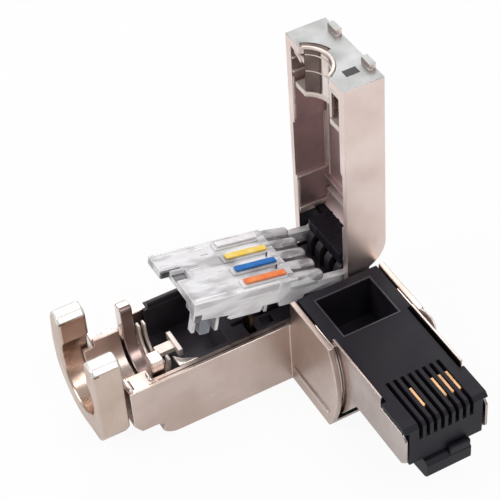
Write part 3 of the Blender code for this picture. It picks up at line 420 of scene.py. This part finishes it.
# Rounded copies of the solids; a hook picks the faces that take another finish than the first

hinge = {"x": 3.45, "height": 12.1}
guideFrame = Matrix.Translation(Vector((hinge["x"], 0, hinge["height"])) * mm)
guideFrame = guideFrame @ Matrix.Rotation(guideTilt, 4, "Y")


# How squarely a face has to look along an axis, and where each finish lies, in millimetres
squareness = {"full": 0.9, "high": 0.8, "low": 0.3}
coverZones = {"foot": 15.35, "half": 6.08, "depth": (1.95, 6.7), "top": 43.4, "endPlate": 44}
ringZones = {"axis": 9.1, "bore": 5.2, "mouthHalf": 5.0, "tops": 14.5}
pocketZone = {"half": 3.95, "along": (-15.6, -8.6), "height": (7.7, 14.3)}
slotZone = {"half": 4.2, "along": (-32.3, -24.9), "height": (12, 14.35)}
guideZones = {"postTop": -1.05, "postAlong": (-22.2, -19.7), "postNear": -4.5, "wallEnd": -4.0}
bladeFit = {"above": 13.6, "rise": 0.5, "widen": 0.07}


def inside(value, limits):
    return limits[0] < value < limits[1]


def coverFaces(mesh):
    # The hollow side of the cover is painted darker as shade, and its foot is lined in black
    foot = coverZones["foot"]
    everything = list(mesh.verts) + list(mesh.edges) + list(mesh.faces)
    bmesh.ops.bisect_plane(mesh, geom=everything, plane_co=(0, 0, foot * mm), plane_no=(0, 0, 1))
    for face in mesh.faces:
        middle = face.calc_center_median() / mm
        within = abs(middle.y) < coverZones["half"] and inside(middle.x, coverZones["depth"])
        if within and middle.z < coverZones["top"]:
            face.material_index = 1 if middle.z > foot else 2
        if face.normal.z > squareness["full"] and middle.z > coverZones["endPlate"]:
            face.material_index = 3


def ringFaces(mesh):
    # The bore and the faces of the mouth take a warmer bronze, and the tops are painted pale as the
    # highlight of the light from above
    for face in mesh.faces:
        middle = face.calc_center_median() / mm
        inward = Vector((0, -middle.y, ringZones["axis"] - middle.z))
        level = abs(face.normal.x) < squareness["low"]
        inMouth = middle.z > ringZones["axis"] and abs(middle.y) < ringZones["mouthHalf"]
        if level and inward.length < ringZones["bore"] and face.normal.dot(inward) > 0:
            face.material_index = 1
        if inMouth and abs(face.normal.y) > squareness["high"] and face.normal.y * middle.y < 0:
            face.material_index = 1
        if middle.z > ringZones["tops"] and face.normal.z > squareness["low"]:
            face.material_index = 2


def plugFaces(mesh):
    # The pocket and the slots take a duller black, painted shade for their depth
    for face in mesh.faces:
        middle = face.calc_center_median() / mm
        found = []
        for zone in (pocketZone, slotZone):
            flat = abs(middle.x) < zone["half"] and inside(middle.y, zone["along"])
            found.append(flat and inside(middle.z, zone["height"]))
        if found[0] or (found[1] and abs(face.normal.y) < squareness["full"]):
            face.material_index = 1


def guideFaces(mesh):
    # The tapered post under the guide is tinted, and its near wall is painted lighter as lit
    back = guideFrame.inverted()
    for face in mesh.faces:
        middle = (back @ face.calc_center_median()) / mm
        inPost = inside(middle.x, guideZones["postAlong"]) and middle.y > guideZones["postNear"]
        if inPost and middle.z < guideZones["postTop"]:
            face.material_index = 1
        elif face.normal.y < -squareness["high"] and middle.x < guideZones["wallEnd"]:
            face.material_index = 2


def bladeFaces(mesh):
    # The blades stand nearly level with the plug's top
    for vert in mesh.verts:
        if vert.co.z > bladeFit["above"] * mm:
            vert.co.z += bladeFit["rise"] * mm
        side = 1 if vert.normal.x > 0 else -1
        vert.co.x += side * bladeFit["widen"] * mm


def saddleFaces(mesh):
    # The horns' inner sides are painted dark as shade
    for face in mesh.faces:
        inward = face.normal.y * face.calc_center_median().y < 0
        if inward and abs(face.normal.x) < squareness["low"]:
            face.material_index = 1


def finishObject(name, data, skinNames, body, replaced=None):
    for skin in skinNames:
        data.materials.append(skins[skin])
    made = bpy.data.objects.new(name, data)
    bpy.context.scene.collection.objects.link(made)
    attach(made, body)
    if replaced:
        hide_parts(replaced)
    return made


rounding = {"merged": 0.000004, "flat": 1.0, "sharp": 28}


def roundedCopy(nodeName, skinNames, width, segments, slot, hook=None):
    source = nodes[nodeName]
    mesh = bmesh.new()
    mesh.from_mesh(source.data)
    bmesh.ops.remove_doubles(mesh, verts=mesh.verts, dist=rounding["merged"])
    if nodeName != "wire_guide":  # its faces have many openings and stay in triangles
        bmesh.ops.dissolve_limit(mesh, angle_limit=math.radians(rounding["flat"]), verts=mesh.verts,
                                 edges=mesh.edges)
    mesh.normal_update()
    if hook:
        hook(mesh)
    data = bpy.data.meshes.new(f"{nodeName}_dressed")
    mesh.to_mesh(data)
    mesh.free()
    data.shade_smooth()
    made = finishObject(f"{nodeName}_dressed", data, skinNames, source["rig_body"], nodeName)
    edge = made.modifiers.new("edge", "BEVEL")
    edge.width = width * mm
    edge.segments = segments
    edge.limit_method = "ANGLE"
    edge.angle_limit = math.radians(rounding["sharp"])
    edge.profile = 0.5
    edge.use_clamp_overlap = True
    edge.miter_outer = "MITER_ARC"
    weigh = made.modifiers.new("weigh", "WEIGHTED_NORMAL")
    weigh.keep_sharp = True
    return made


# Finishes, bevel's width in millimetres, its segments, slot and hook
roundedValues = {
    "base_shell": (["nickel"], 0.22, 3, "nickel", None),
    "lock_ring": (["ringNickel", "bronzeNickel", "litTineTop"], 0.3, 3, "nickel", ringFaces),
    "cover_shell": (["litCoverNickel", "shadedInsideNickel", "blackPlastic", "plateGrey"], 0.16, 2, "nickel",
                    coverFaces),
    "cable_saddle": (["brightNickel", "shadeNickel"], 0.18, 3, "bright_nickel", saddleFaces),
    "shield_contact": (["paintedLightTrim"], 0.06, 2, "bright_nickel", None),
    "cover_clamp": (["paintedLightTrim"], 0.08, 2, "bright_nickel", None),
    "plug_shield": (["shieldNickel"], 0.08, 2, "bright_nickel", None),
    "contact_carrier": (["trayPlastic"], 0.08, 2, "black_plastic", None),
    "plug_body": (["blackPlastic", "deepBlack"], 0.07, 2, "black_plastic", plugFaces),
    "latch": (["blackPlastic"], 0.2, 3, "black_plastic", None),
    "wire_guide": (["clearPlastic", "postTint", "litNearWallClear"], 0.14, 2, "clear_plastic", guideFaces),
    "hinge_pin": (["brightNickel"], 0.08, 2, "bright_nickel", None),
    "contact_board": (["boardGreen"], 0.05, 2, "board_green", None),
    "wire_mark_orange": (["orangeMark"], 0.12, 3, "orange_mark", None),
    "wire_mark_blue": (["blueMark"], 0.12, 3, "blue_mark", None),
    "wire_mark_yellow": (["yellowMark"], 0.12, 3, "yellow_mark", None),
    "wire_mark_white": (["whiteMark"], 0.12, 3, "white_mark", None),
}
for number in (1, 2, 3, 4):
    roundedValues[f"fork_contact_{number}"] = (["darkGold"], 0.05, 2, "gold", None)
for number in (1, 2, 3, 6):
    roundedValues[f"contact_blade_{number}"] = (["gold"], 0.06, 2, "gold", bladeFaces)

for nodeName, values in roundedValues.items():
    roundedCopy(nodeName, *values)
print("rounded copies made:", len(roundedValues))


# Small shapes that the added pieces are made of, in millimetres

def linesOf(verts):
    return list(dict.fromkeys(line for vert in verts for line in vert.link_edges))


def sharpLines(verts, angle):
    return [line for line in linesOf(verts) if line.calc_face_angle(0) > math.radians(angle)]


def soften(mesh, lines, edge, segments=2):
    bmesh.ops.bevel(mesh, geom=lines, offset=edge * mm, offset_type="OFFSET", segments=segments, profile=0.5,
                    affect="EDGES", material=-1, clamp_overlap=True)


def block(mesh, low, high, edge, segments=2, place=None):
    low = Vector(low)
    high = Vector(high)
    made = bmesh.ops.create_cube(mesh, size=1.0)["verts"]
    size = (high - low) * mm
    fit = Matrix.Translation((low + high) / 2 * mm) @ Matrix.Diagonal((*size, 1))
    bmesh.ops.transform(mesh, matrix=fit, verts=made)
    if place:
        bmesh.ops.transform(mesh, matrix=place, verts=made)
    soften(mesh, linesOf(made), edge, segments)


def blocks(mesh, rows, place=None):
    # A row is a low corner, a high corner, the bevel and, where it isn't two, the bevel's segments
    for row in rows:
        block(mesh, *row, place=place)


def mirrored(rows, axis):
    # The rows and their images on the other side of the middle plane
    for low, high, *bevel in rows:
        yield low, high, *bevel
        farLow = [-high[at] if at == axis else low[at] for at in range(3)]
        farHigh = [-low[at] if at == axis else high[at] for at in range(3)]
        yield farLow, farHigh, *bevel


def repeated(rows, places):
    # The rows moved across to each place
    for place in places:
        for low, high, *bevel in rows:
            yield (low[0], low[1] + place, low[2]), (high[0], high[1] + place, high[2]), *bevel


def bar(mesh, start, end, wide, high, edge, sides=24, segments=4):
    # A round bar along X between two ends, drawn out to its width and height
    made = bmesh.ops.create_cone(mesh, cap_ends=True, cap_tris=False, segments=sides, radius1=1.0,
                                 radius2=1.0, depth=1.0)["verts"]
    start = Vector(start)
    end = Vector(end)
    size = Matrix.Diagonal((high * mm, wide * mm, (end.x - start.x) * mm, 1))
    turned = Matrix.Rotation(math.radians(90), 4, "Y")
    fit = Matrix.Translation((start + end) / 2 * mm) @ turned @ size
    bmesh.ops.transform(mesh, matrix=fit, verts=made)
    caps = dict.fromkeys(face for vert in made for face in vert.link_faces if len(face.verts) > 4)
    soften(mesh, list(dict.fromkeys(line for face in caps for line in face.edges)), edge, segments)


def capsule(mesh, start, end, radius, half, place, sides=20, rings=11):
    # A round-ended bar along X between two ends, drawn out across to a half width
    made = bmesh.ops.create_uvsphere(mesh, u_segments=sides, v_segments=rings, radius=radius * mm)["verts"]
    bmesh.ops.rotate(mesh, verts=made, cent=(0, 0, 0), matrix=Matrix.Rotation(math.radians(90), 3, "Y"))
    bmesh.ops.scale(mesh, verts=made, vec=(1, half / radius, 1))
    right = [vert for vert in made if vert.co.x > 0]
    bmesh.ops.translate(mesh, verts=right, vec=Vector((end[0] - start[0] - 2 * radius, 0, 0)) * mm)
    bmesh.ops.translate(mesh, verts=made, vec=Vector((start[0] + radius, start[1], start[2])) * mm)
    bmesh.ops.transform(mesh, matrix=place, verts=made)


def arcBand(mesh, centre, size, reach, steps=16, edge=0.0, facing=0, sharp=40):
    # A band round an upright axis, open towards -X unless it is turned
    inner, outer, low, high = size
    corners = []
    for radius, height in ((inner, low), (outer, low), (outer, high), (inner, high)):
        corners.append(mesh.verts.new(Vector((centre[0] + radius, centre[1], height)) * mm))
    face = mesh.faces.new(corners)
    middle = Vector((centre[0], centre[1], 0)) * mm
    turned = Matrix.Rotation(math.radians(facing - reach), 3, "Z")
    bmesh.ops.rotate(mesh, verts=corners, cent=middle, matrix=turned)
    begin = [face] + list(face.edges) + corners
    before = set(mesh.verts) - set(corners)
    bmesh.ops.spin(mesh, geom=begin, cent=middle, axis=(0, 0, 1), angle=math.radians(2 * reach),
                   steps=steps, use_duplicate=False)
    if edge:
        made = [vert for vert in mesh.verts if vert not in before]
        soften(mesh, sharpLines(made, sharp), edge)


def plate(mesh, outline, axis, reach, edge, sharp=30):
    # A flat outline drawn through a thickness; its numbers are the other two axes in order
    low, high = reach
    corners = []
    for first, second in outline:
        place = {"X": (low, first, second), "Y": (first, low, second), "Z": (first, second, low)}[axis]
        corners.append(mesh.verts.new(Vector(place) * mm))
    face = mesh.faces.new(corners)
    moved = bmesh.ops.extrude_face_region(mesh, geom=[face])["geom"]
    tops = [item for item in moved if isinstance(item, bmesh.types.BMVert)]
    shift = Vector({"X": (1, 0, 0), "Y": (0, 1, 0), "Z": (0, 0, 1)}[axis]) * (high - low) * mm
    bmesh.ops.translate(mesh, verts=tops, vec=shift)
    soften(mesh, sharpLines(corners + tops, sharp), edge)


def addPiece(name, mesh, skin, body):
    bmesh.ops.recalc_face_normals(mesh, faces=mesh.faces)
    data = bpy.data.meshes.new(name)
    mesh.to_mesh(data)
    mesh.free()
    data.shade_smooth()
    made = finishObject(name, data, [skin], body)
    weigh = made.modifiers.new("weigh", "WEIGHTED_NORMAL")
    weigh.keep_sharp = True
    return made


# Cover: black ribbed foot, light strips in the hollow that paint highlights along its edges and ribs, half
# pipe in the clamp with painted shade on one side

footBlock = {
    "bodies": (((2.2, -4.0, 13.95), (4.6, 4.0, 15.7), 0.15), ((4.62, -5.5, 15.05), (6.5, 5.5, 15.7), 0.08)),
    "rib": (((2.14, -0.25, 14.05), (2.3, 0.25, 15.76), 0.12),
            ((2.3, -0.25, 15.65), (6.2, 0.25, 15.76), 0.07)),
    "ribRows": (-3.3, -1.65, 0.0, 1.65, 3.3),
    "line": (((4.92, -0.035, 15.68), (6.4, 0.035, 15.75), 0.02, 1),),
    "lineRows": (-4.1, -2.5, -0.85, 0.85, 2.5, 4.1),
}


def buildFootBlock(values):
    mesh = bmesh.new()
    blocks(mesh, values["bodies"])
    blocks(mesh, repeated(values["rib"], values["ribRows"]))
    addPiece("cover_foot_block", mesh, "blackPlastic", "cover")
    # Thin lighter lines on the foot block: painted highlights along the edges of its grooves
    lines = bmesh.new()
    blocks(lines, repeated(values["line"], values["lineRows"]))
    addPiece("cover_foot_lines", lines, "rimPlastic", "cover")


coverTrim = {
    "openEdges": (((1.92, 5.52, 31.7), (2.22, 5.64, 38.5), 0.06),
                  ((1.92, 5.52, 16.6), (2.22, 5.64, 21.4), 0.06)),
    "windows": (((6.4, 5.52, 21.7), (6.62, 5.64, 31.2), 0.05),
                ((1.95, 5.52, 21.66), (6.6, 5.64, 21.92), 0.05)),
    "wallRibs": (((1.95, 5.37, 15.95), (6.6, 5.64, 16.55), 0.08),),
    "farStrips": (((1.95, 5.37, 39.2), (3.9, 5.64, 39.5), 0.08),
                  ((1.95, 5.37, 41.3), (3.9, 5.64, 41.6), 0.08)),
    "roofRibs": (((6.24, -5.52, 15.95), (6.64, 5.52, 16.55), 0.08),
                 ((6.14, -5.52, 17.6), (6.64, 5.52, 18.15), 0.08),
                 ((6.39, 5.09, 20.7), (6.64, 5.31, 36.6), 0.05)),
    "stud": ((6.52, 3.95, 31.4), (6.66, 3.95, 31.4), 0.22, 0.55, 0.05),
}


# Light strips along the hollow's edges and on its ribs: painted highlights
def buildCoverTrim(values):
    mesh = bmesh.new()
    for key in ("openEdges", "windows", "wallRibs"):
        blocks(mesh, mirrored(values[key], 1))
    blocks(mesh, values["farStrips"])
    blocks(mesh, values["roofRibs"])
    bar(mesh, *values["stud"])
    addPiece("cover_trim", mesh, "paintedLightTrim", "cover")


# Bands are given by inner and outer radius, low and high end
halfPipe = {
    "axis": (0.45, 0.0),
    "band": (3.36, 3.8, 37.95, 44.3),
    "steps": 10,
    # The shaded side of the pipe is a dark brown band: painted shade
    "dark": {"facing": 42, "reach": 17},
    "bright": {"facing": -17, "reach": 42},
    "grooves": ((3.26, 3.41, 41.1, 41.24), (3.26, 3.41, 43.6, 43.74)),
    "grooveReach": 57,
    "grooveEdge": 0.04,
    "strips": (((5.65, 43.9), (5.65, 43.2), (3.5, 41.9), (3.5, 42.5)),
               ((-3.4, 42.95), (-3.4, 42.5), (-5.65, 42.8), (-5.65, 43.25))),
    "stripDepth": (2.0, 2.35),
    "stripEdge": 0.08,
    "collar": {"size": (3.4, 3.86, 44.3, 44.68), "reach": 64, "edge": 0.1},
    # A dark band in the recess of the end plate: painted shade
    "recess": {"size": (3.84, 4.6, 44.44, 44.52), "reach": 26, "facing": 40},
    # A dark inlay standing for the shaded slot in the end plate: painted shade
    "slot": (((3.75, -4.5, 44.46), (5.6, -3.3, 44.53), 0.02),),
}


def buildHalfPipe(values):
    axis = values["axis"]
    # The shaded side of the pipe is painted dark brown, its lit side is bright nickel
    for name, skin in (("dark", "seamAndShadeBrown"), ("bright", "brightNickel")):
        mesh = bmesh.new()
        arcBand(mesh, axis, values["band"], steps=values["steps"], **values[name])
        addPiece(f"cover_half_pipe_{name}", mesh, skin, "cover")
    rings = bmesh.new()
    for size in values["grooves"]:
        arcBand(rings, axis, size, values["grooveReach"], edge=values["grooveEdge"])
    for outline in values["strips"]:
        plate(rings, outline, "X", values["stripDepth"], values["stripEdge"])
    addPiece("cover_pipe_rings", rings, "paintedLightTrim", "cover")
    collar = bmesh.new()
    arcBand(collar, axis, **values["collar"])
    addPiece("cover_collar", collar, "paintedLightTrim", "cover")
    recess = bmesh.new()
    arcBand(recess, axis, **values["recess"])
    addPiece("cover_end_recess", recess, "seamAndShadeBrown", "cover")
    slot = bmesh.new()
    blocks(slot, values["slot"])
    addPiece("cover_end_slot", slot, "trayPlastic", "cover")


buildFootBlock(footBlock)
buildCoverTrim(coverTrim)
buildHalfPipe(halfPipe)
print("cover pieces made")


# Ring, base and latch: pieces made of blocks alone

ringNicks = {
    "far": ((-33.95, 3.58, 15.5), (-33.1, 3.68, 15.72), 0.03, 1),
    "side": ((-33.9, -6.69, 15.5), (-33.2, -6.6, 15.68), 0.03, 1),
}
carrierLip = {
    "lip": ((-21.35, 4.86, 9.85), (-6.6, 5.4, 11.7), 0.18),
    "seal": ((-21.35, 5.72, 10.15), (1.4, 6.75, 10.28), 0.04),
}
partingSeam = {
    "seam": ((-25.6, -6.42, 10.15), (-7.2, -6.22, 10.22), 0.01, 1),
}
neckNicks = {
    "nearTop": ((-28.95, -6.2, 10.17), (-28.75, -4.5, 10.24), 0.05),
    "nearEdge": ((-26.9, -6.5, 10.17), (-25.9, -6.4, 10.23), 0.05),
    "farSide": ((-28.9, 4.55, 7.9), (-28.5, 4.62, 8.9), 0.05),
    "farFoot": ((-27.6, 4.25, 7.4), (-26.5, 4.32, 7.6), 0.05),
}
# A lighter peg in the pocket: a painted highlight spot
pocketPeg = {
    "peg": ((2.5, -14.9, 7.95), (3.1, -14.4, 11.6), 0.12, 3),
}
latchStep = {
    "step": ((0.1, -33.36, 7.2), (3.1, -32.62, 8.5), 0.2, 3),
}


def buildBlocks(name, values, skin, body):
    mesh = bmesh.new()
    blocks(mesh, values.values())
    addPiece(name, mesh, skin, body)


# Base: ledges and lining of the plug section, rim of the pocket, spring of the shield, neck

plugSection = {
    "ledge": (((6.85, -16.4, 2.5), (7.17, -7.4, 2.95), 0.1),),
    "liningReach": (5.88, 6.12),
    "liningRear": -12.0,
    "frontBottom": (-16.0, 1.5),
    "frontTop": (-16.45, 14.4),
    "bulge": 2.0,
    "bulgeSteps": 12,
    "liningEdge": 0.05,
}


def buildSectionTrim(values):
    ledges = bmesh.new()
    blocks(ledges, mirrored(values["ledge"], 0))
    addPiece("section_ledges", ledges, "brightNickel", "base")
    lining = bmesh.new()
    bottom = Vector(values["frontBottom"])
    top = Vector(values["frontTop"])
    steps = values["bulgeSteps"]
    outline = [(values["liningRear"], bottom.y)]
    for step in range(steps + 1):
        share = step / steps
        point = bottom + (top - bottom) * share
        outline.append((point.x - values["bulge"] * 4 * share * (1 - share), point.y))
    outline.append((values["liningRear"], top.y))
    low, high = values["liningReach"]
    for reach in ((-high, -low), (low, high)):
        plate(lining, outline, "X", reach, values["liningEdge"])
    addPiece("section_lining", lining, "brightNickel", "base")


plugPocket = {
    "sides": (((3.95, -15.82, 14.47), (4.17, -8.38, 14.57), 0.03),),
    "ends": (((-3.96, -15.82, 14.47), (3.96, -15.6, 14.57), 0.03),
             ((-3.96, -8.6, 14.47), (3.96, -8.38, 14.57), 0.03)),
}


# A slightly lighter black frame round the pocket: a painted highlight on its rim
def buildPocketRim(values):
    mesh = bmesh.new()
    blocks(mesh, mirrored(values["sides"], 0))
    blocks(mesh, values["ends"])
    addPiece("pocket_rim", mesh, "rimPlastic", "base")


shieldSpring = {
    "side": 5.87,
    "path": ((0.0, -16.9), (0.25, -17.3), (0.46, -17.9), (0.52, -18.6), (0.5, -19.3), (0.32, -20.1),
             (0.0, -20.9)),
    "height": (12.6, 15.15),
    "sheet": 0.24,
    "edge": 0.05,
}


def buildShieldSpring(values):
    mesh = bmesh.new()
    outside = [(values["side"] + values["sheet"] + out, along) for out, along in values["path"]]
    inner = [(values["side"] + out, along) for out, along in values["path"]]
    plate(mesh, outside + inner[::-1], "Z", values["height"], values["edge"])
    addPiece("shield_spring", mesh, "paintedLightTrim", "base")


neckDetail = {
    "blocks": (((-29.7, 4.6, 7.3), (-28.5, 6.8, 9.2), 0.15),
               ((-27.7, 4.3, 7.3), (-26.2, 6.7, 8.3), 0.15),
               ((-28.55, 5.9, 7.3), (-27.65, 6.7, 7.8), 0.15),
               ((-29.65, -6.5, 10.15), (-29.1, -4.3, 10.7), 0.15),
               ((-26.6, -5.9, 10.15), (-26.1, -4.6, 10.45), 0.15)),
    "corner": ((-22.2, -5.6), (-19.4, -5.6), (-21.3, -4.6), (-22.2, -3.6)),
    "cornerHeight": (9.85, 10.25),
    "cornerEdge": 0.1,
}


def buildNeckDetail(values):
    mesh = bmesh.new()
    blocks(mesh, values["blocks"])
    plate(mesh, values["corner"], "Z", values["cornerHeight"], values["cornerEdge"])
    addPiece("neck_details", mesh, "brightNickel", "base")


buildBlocks("ring_nicks", ringNicks, "seamAndShadeBrown", "ring")
buildBlocks("carrier_lip", carrierLip, "trayPlastic", "base")
buildBlocks("parting_seam", partingSeam, "seamAndShadeBrown", "base")
buildSectionTrim(plugSection)
buildShieldSpring(shieldSpring)
buildNeckDetail(neckDetail)
buildBlocks("neck_nicks", neckNicks, "seamAndShadeBrown", "base")
print("ring and base pieces made")
buildPocketRim(plugPocket)
buildBlocks("pocket_peg", pocketPeg, "rimPlastic", "base")
buildBlocks("latch_step", latchStep, "blackPlastic", "latch_lever")
print("plug and latch pieces made")


# Wire guide, in its own tilted frame: along, across and up from the hinge pin

guideDetail = {
    "ridgeRows": (-4.5, -2.25, 0.0, 2.25, 4.5),
    "ridgeEnds": (-9.95, -4.4),
    "ridgeRadius": 0.78,
    "ridgeHalf": 0.84,
    "ridgeMiddle": 1.68,
    "ridgeDroop": 5.0,
    "nearBar": (((-9.3, -5.34, 0.35), (-5.3, -4.8, 1.1), 0.25, 3),),
    "pad": (((-16.2, -0.75, 2.15), (-9.75, 0.75, 2.44), 0.14, 3),),
    "padRows": (-3.9, -1.3, 1.3, 3.9),
    "glints": (((-22.9, -4.7, 2.17), (-18.6, -4.45, 2.24), 0.03),
               ((-17.4, -5.1, 2.17), (-11.0, -4.9, 2.26), 0.03),
               ((-24.2, 2.5, 2.17), (-20.5, 2.66, 2.23), 0.03),
               ((-23.9, 4.95, 2.17), (-18.4, 5.12, 2.26), 0.03),
               ((-21.0, 0.9, 2.17), (-19.2, 1.05, 2.23), 0.03),
               ((-19.6, -1.2, 2.17), (-17.6, -1.05, 2.23), 0.03),
               ((-18.6, 4.2, 2.17), (-16.8, 4.4, 2.24), 0.03),
               ((-21.3, -2.4, 2.17), (-19.2, -2.25, 2.23), 0.03),
               ((-22.6, -5.36, 0.8), (-12.4, -5.28, 1.15), 0.03),
               ((-11.3, -5.4, -0.9), (-10.9, -5.28, 2.1), 0.03),
               ((-18.4, -5.36, -1.5), (-16.2, -5.28, -1.2), 0.03)),
    "shade": (((-23.3, -0.3, 1.62), (-21.5, 1.4, 1.7), 0.03, 1),
              ((-24.5, 1.78, 1.1), (-21.8, 2.02, 2.1), 0.03, 1),
              ((-20.9, 1.5, 2.16), (-19.4, 1.6, 2.21), 0.03, 1),
              ((-18.3, 3.0, 2.16), (-17.2, 3.15, 2.21), 0.03, 1),
              ((-17.6, -0.6, 2.16), (-16.9, -0.5, 2.21), 0.03, 1),
              ((-23.2, -5.35, -0.8), (-22.2, -5.28, 0.3), 0.03, 1),
              ((-18.8, -2.9, 2.16), (-17.4, -2.8, 2.21), 0.03, 1)),
    "valley": (((-9.65, -0.42, 0.9), (-4.9, 0.42, 1.98), 0.03, 1),),
    "valleyRows": (-3.375, -1.125, 1.125, 3.375),
    "ticks": (((-10.4, -0.1, 2.2), (-10.3, 0.2, 2.85), 0.02, 1),
              ((-10.4, -2.7, 2.2), (-10.3, -2.4, 2.85), 0.02, 1)),
}


def buildGuideDetail(values):
    left, right = values["ridgeEnds"]
    height = values["ridgeMiddle"]
    end = Matrix.Translation(Vector((left, 0, height)) * mm)
    droop = Matrix.Rotation(math.radians(values["ridgeDroop"]), 4, "Y")
    drooped = guideFrame @ end @ droop @ end.inverted()
    ridges = bmesh.new()
    for row in values["ridgeRows"]:
        capsule(ridges, (left, row, height), (right, row, height), values["ridgeRadius"],
                values["ridgeHalf"], drooped)
    blocks(ridges, values["nearBar"], guideFrame)
    addPiece("guide_ridges", ridges, "ridgeClear", "guide")
    pads = bmesh.new()
    blocks(pads, repeated(values["pad"], values["padRows"]), guideFrame)
    addPiece("guide_pads", pads, "clearPlastic", "guide")
    glints = bmesh.new()
    blocks(glints, values["glints"], guideFrame)
    addPiece("guide_glints", glints, "glintWhite", "guide")
    # Dark strips and plates where shade falls in the guide's valleys, slit and pocket: painted shade
    shade = bmesh.new()
    blocks(shade, values["shade"], guideFrame)
    blocks(shade, repeated(values["valley"], values["valleyRows"]), drooped)
    addPiece("guide_painted_shade", shade, "paintedShadeClear", "guide")
    ticks = bmesh.new()
    blocks(ticks, values["ticks"], guideFrame)
    addPiece("guide_ticks", ticks, "rimPlastic", "guide")


buildGuideDetail(guideDetail)
print("guide pieces made")


# Floor, world and lamps

studio = {
    "floorSize": 4.0,
    "floorColour": (0.86, 0.86, 0.86),
    "floorRoughness": 0.9,
    "white": (1, 1, 1),
    "floorWhiteness": {"Is Camera Ray": 0.93, "Is Transmission Ray": 0.8, "Is Glossy Ray": 0.4},
    "skyLow": (0.3, 0.3, 0.31),
    "skyHigh": (0.95, 0.95, 0.96),
    "skyTop": 0.8,
    "skyStrength": 0.55,
}


def whiteShare(tree, path):
    # How white the floor is to the camera, through clear plastic and in polished metal
    share = None
    for ray, whiteness in studio["floorWhiteness"].items():
        white = spread(tree, path.outputs[ray], 0.0, 1.0, 0.0, whiteness)
        if share:
            most = tree.nodes.new("ShaderNodeMath")
            most.operation = "MAXIMUM"
            tree.links.new(share, most.inputs[0])
            tree.links.new(white, most.inputs[1])
            white = most.outputs["Value"]
        share = white
    return share


def floorMaterial():
    made, tree, shader = startMaterial("paleFloor")
    shader.inputs["Base Color"].default_value = opaque(studio["floorColour"])
    shader.inputs["Roughness"].default_value = studio["floorRoughness"]
    glow = tree.nodes.new("ShaderNodeEmission")
    glow.inputs["Color"].default_value = opaque(studio["white"])
    path = tree.nodes.new("ShaderNodeLightPath")
    share = whiteShare(tree, path)
    both = tree.nodes.new("ShaderNodeMixShader")
    tree.links.new(share, both.inputs["Fac"])
    tree.links.new(shader.outputs["BSDF"], both.inputs[1])
    tree.links.new(glow.outputs["Emission"], both.inputs[2])
    tree.links.new(both.outputs["Shader"], tree.nodes["Material Output"].inputs["Surface"])
    return made


def buildFloor():
    mesh = bmesh.new()
    bmesh.ops.create_grid(mesh, x_segments=1, y_segments=1, size=studio["floorSize"] / 2)
    data = bpy.data.meshes.new("floor")
    mesh.to_mesh(data)
    mesh.free()
    data.materials.append(floorMaterial())
    made = bpy.data.objects.new("floor", data)
    bpy.context.scene.collection.objects.link(made)


def buildWorld():
    world = bpy.data.worlds.new("studio")
    world.use_nodes = True
    bpy.context.scene.world = world
    tree = world.node_tree
    shader = tree.nodes["Background"]
    where = tree.nodes.new("ShaderNodeTexCoord")
    parts = tree.nodes.new("ShaderNodeSeparateXYZ")
    tree.links.new(where.outputs["Generated"], parts.inputs["Vector"])
    height = spread(tree, parts.outputs["Z"], 0.0, studio["skyTop"])
    colour = mixColour(tree, height, studio["skyLow"], studio["skyHigh"])
    path = tree.nodes.new("ShaderNodeLightPath")
    seen = mixColour(tree, path.outputs["Is Camera Ray"], colour, studio["white"])
    strength = spread(tree, path.outputs["Is Camera Ray"], 0.0, 1.0, studio["skyStrength"], 1.0)
    tree.links.new(seen, shader.inputs["Color"])
    tree.links.new(strength, shader.inputs["Strength"])


lampAim = (-0.01, -0.005, 0.012)
lamps = {
    "backSoftbox": {"place": (0.22, 0.46, 0.44), "size": 0.42, "power": 1.35},
    "leftSoftbox": {"place": (-0.42, 0.1, 0.4), "size": 0.35, "power": 1.3},
    "frontSoftbox": {"place": (0.12, -0.42, 0.55), "size": 0.35, "power": 1.3},
}


def buildLamps():
    aim = Vector(lampAim)
    for name, values in lamps.items():
        data = bpy.data.lights.new(name, "AREA")
        data.shape = "SQUARE"
        data.size = values["size"]
        data.energy = values["power"]
        made = bpy.data.objects.new(name, data)
        bpy.context.scene.collection.objects.link(made)
        place = Vector(values["place"])
        turned = (aim - place).to_track_quat("-Z", "Y").to_matrix().to_4x4()
        made.matrix_world = Matrix.Translation(place) @ turned


placeCamera(camera)
buildFloor()
buildWorld()
buildLamps()
bpy.context.scene.view_settings.view_transform = "Standard"
print("camera, floor and lamps in place")
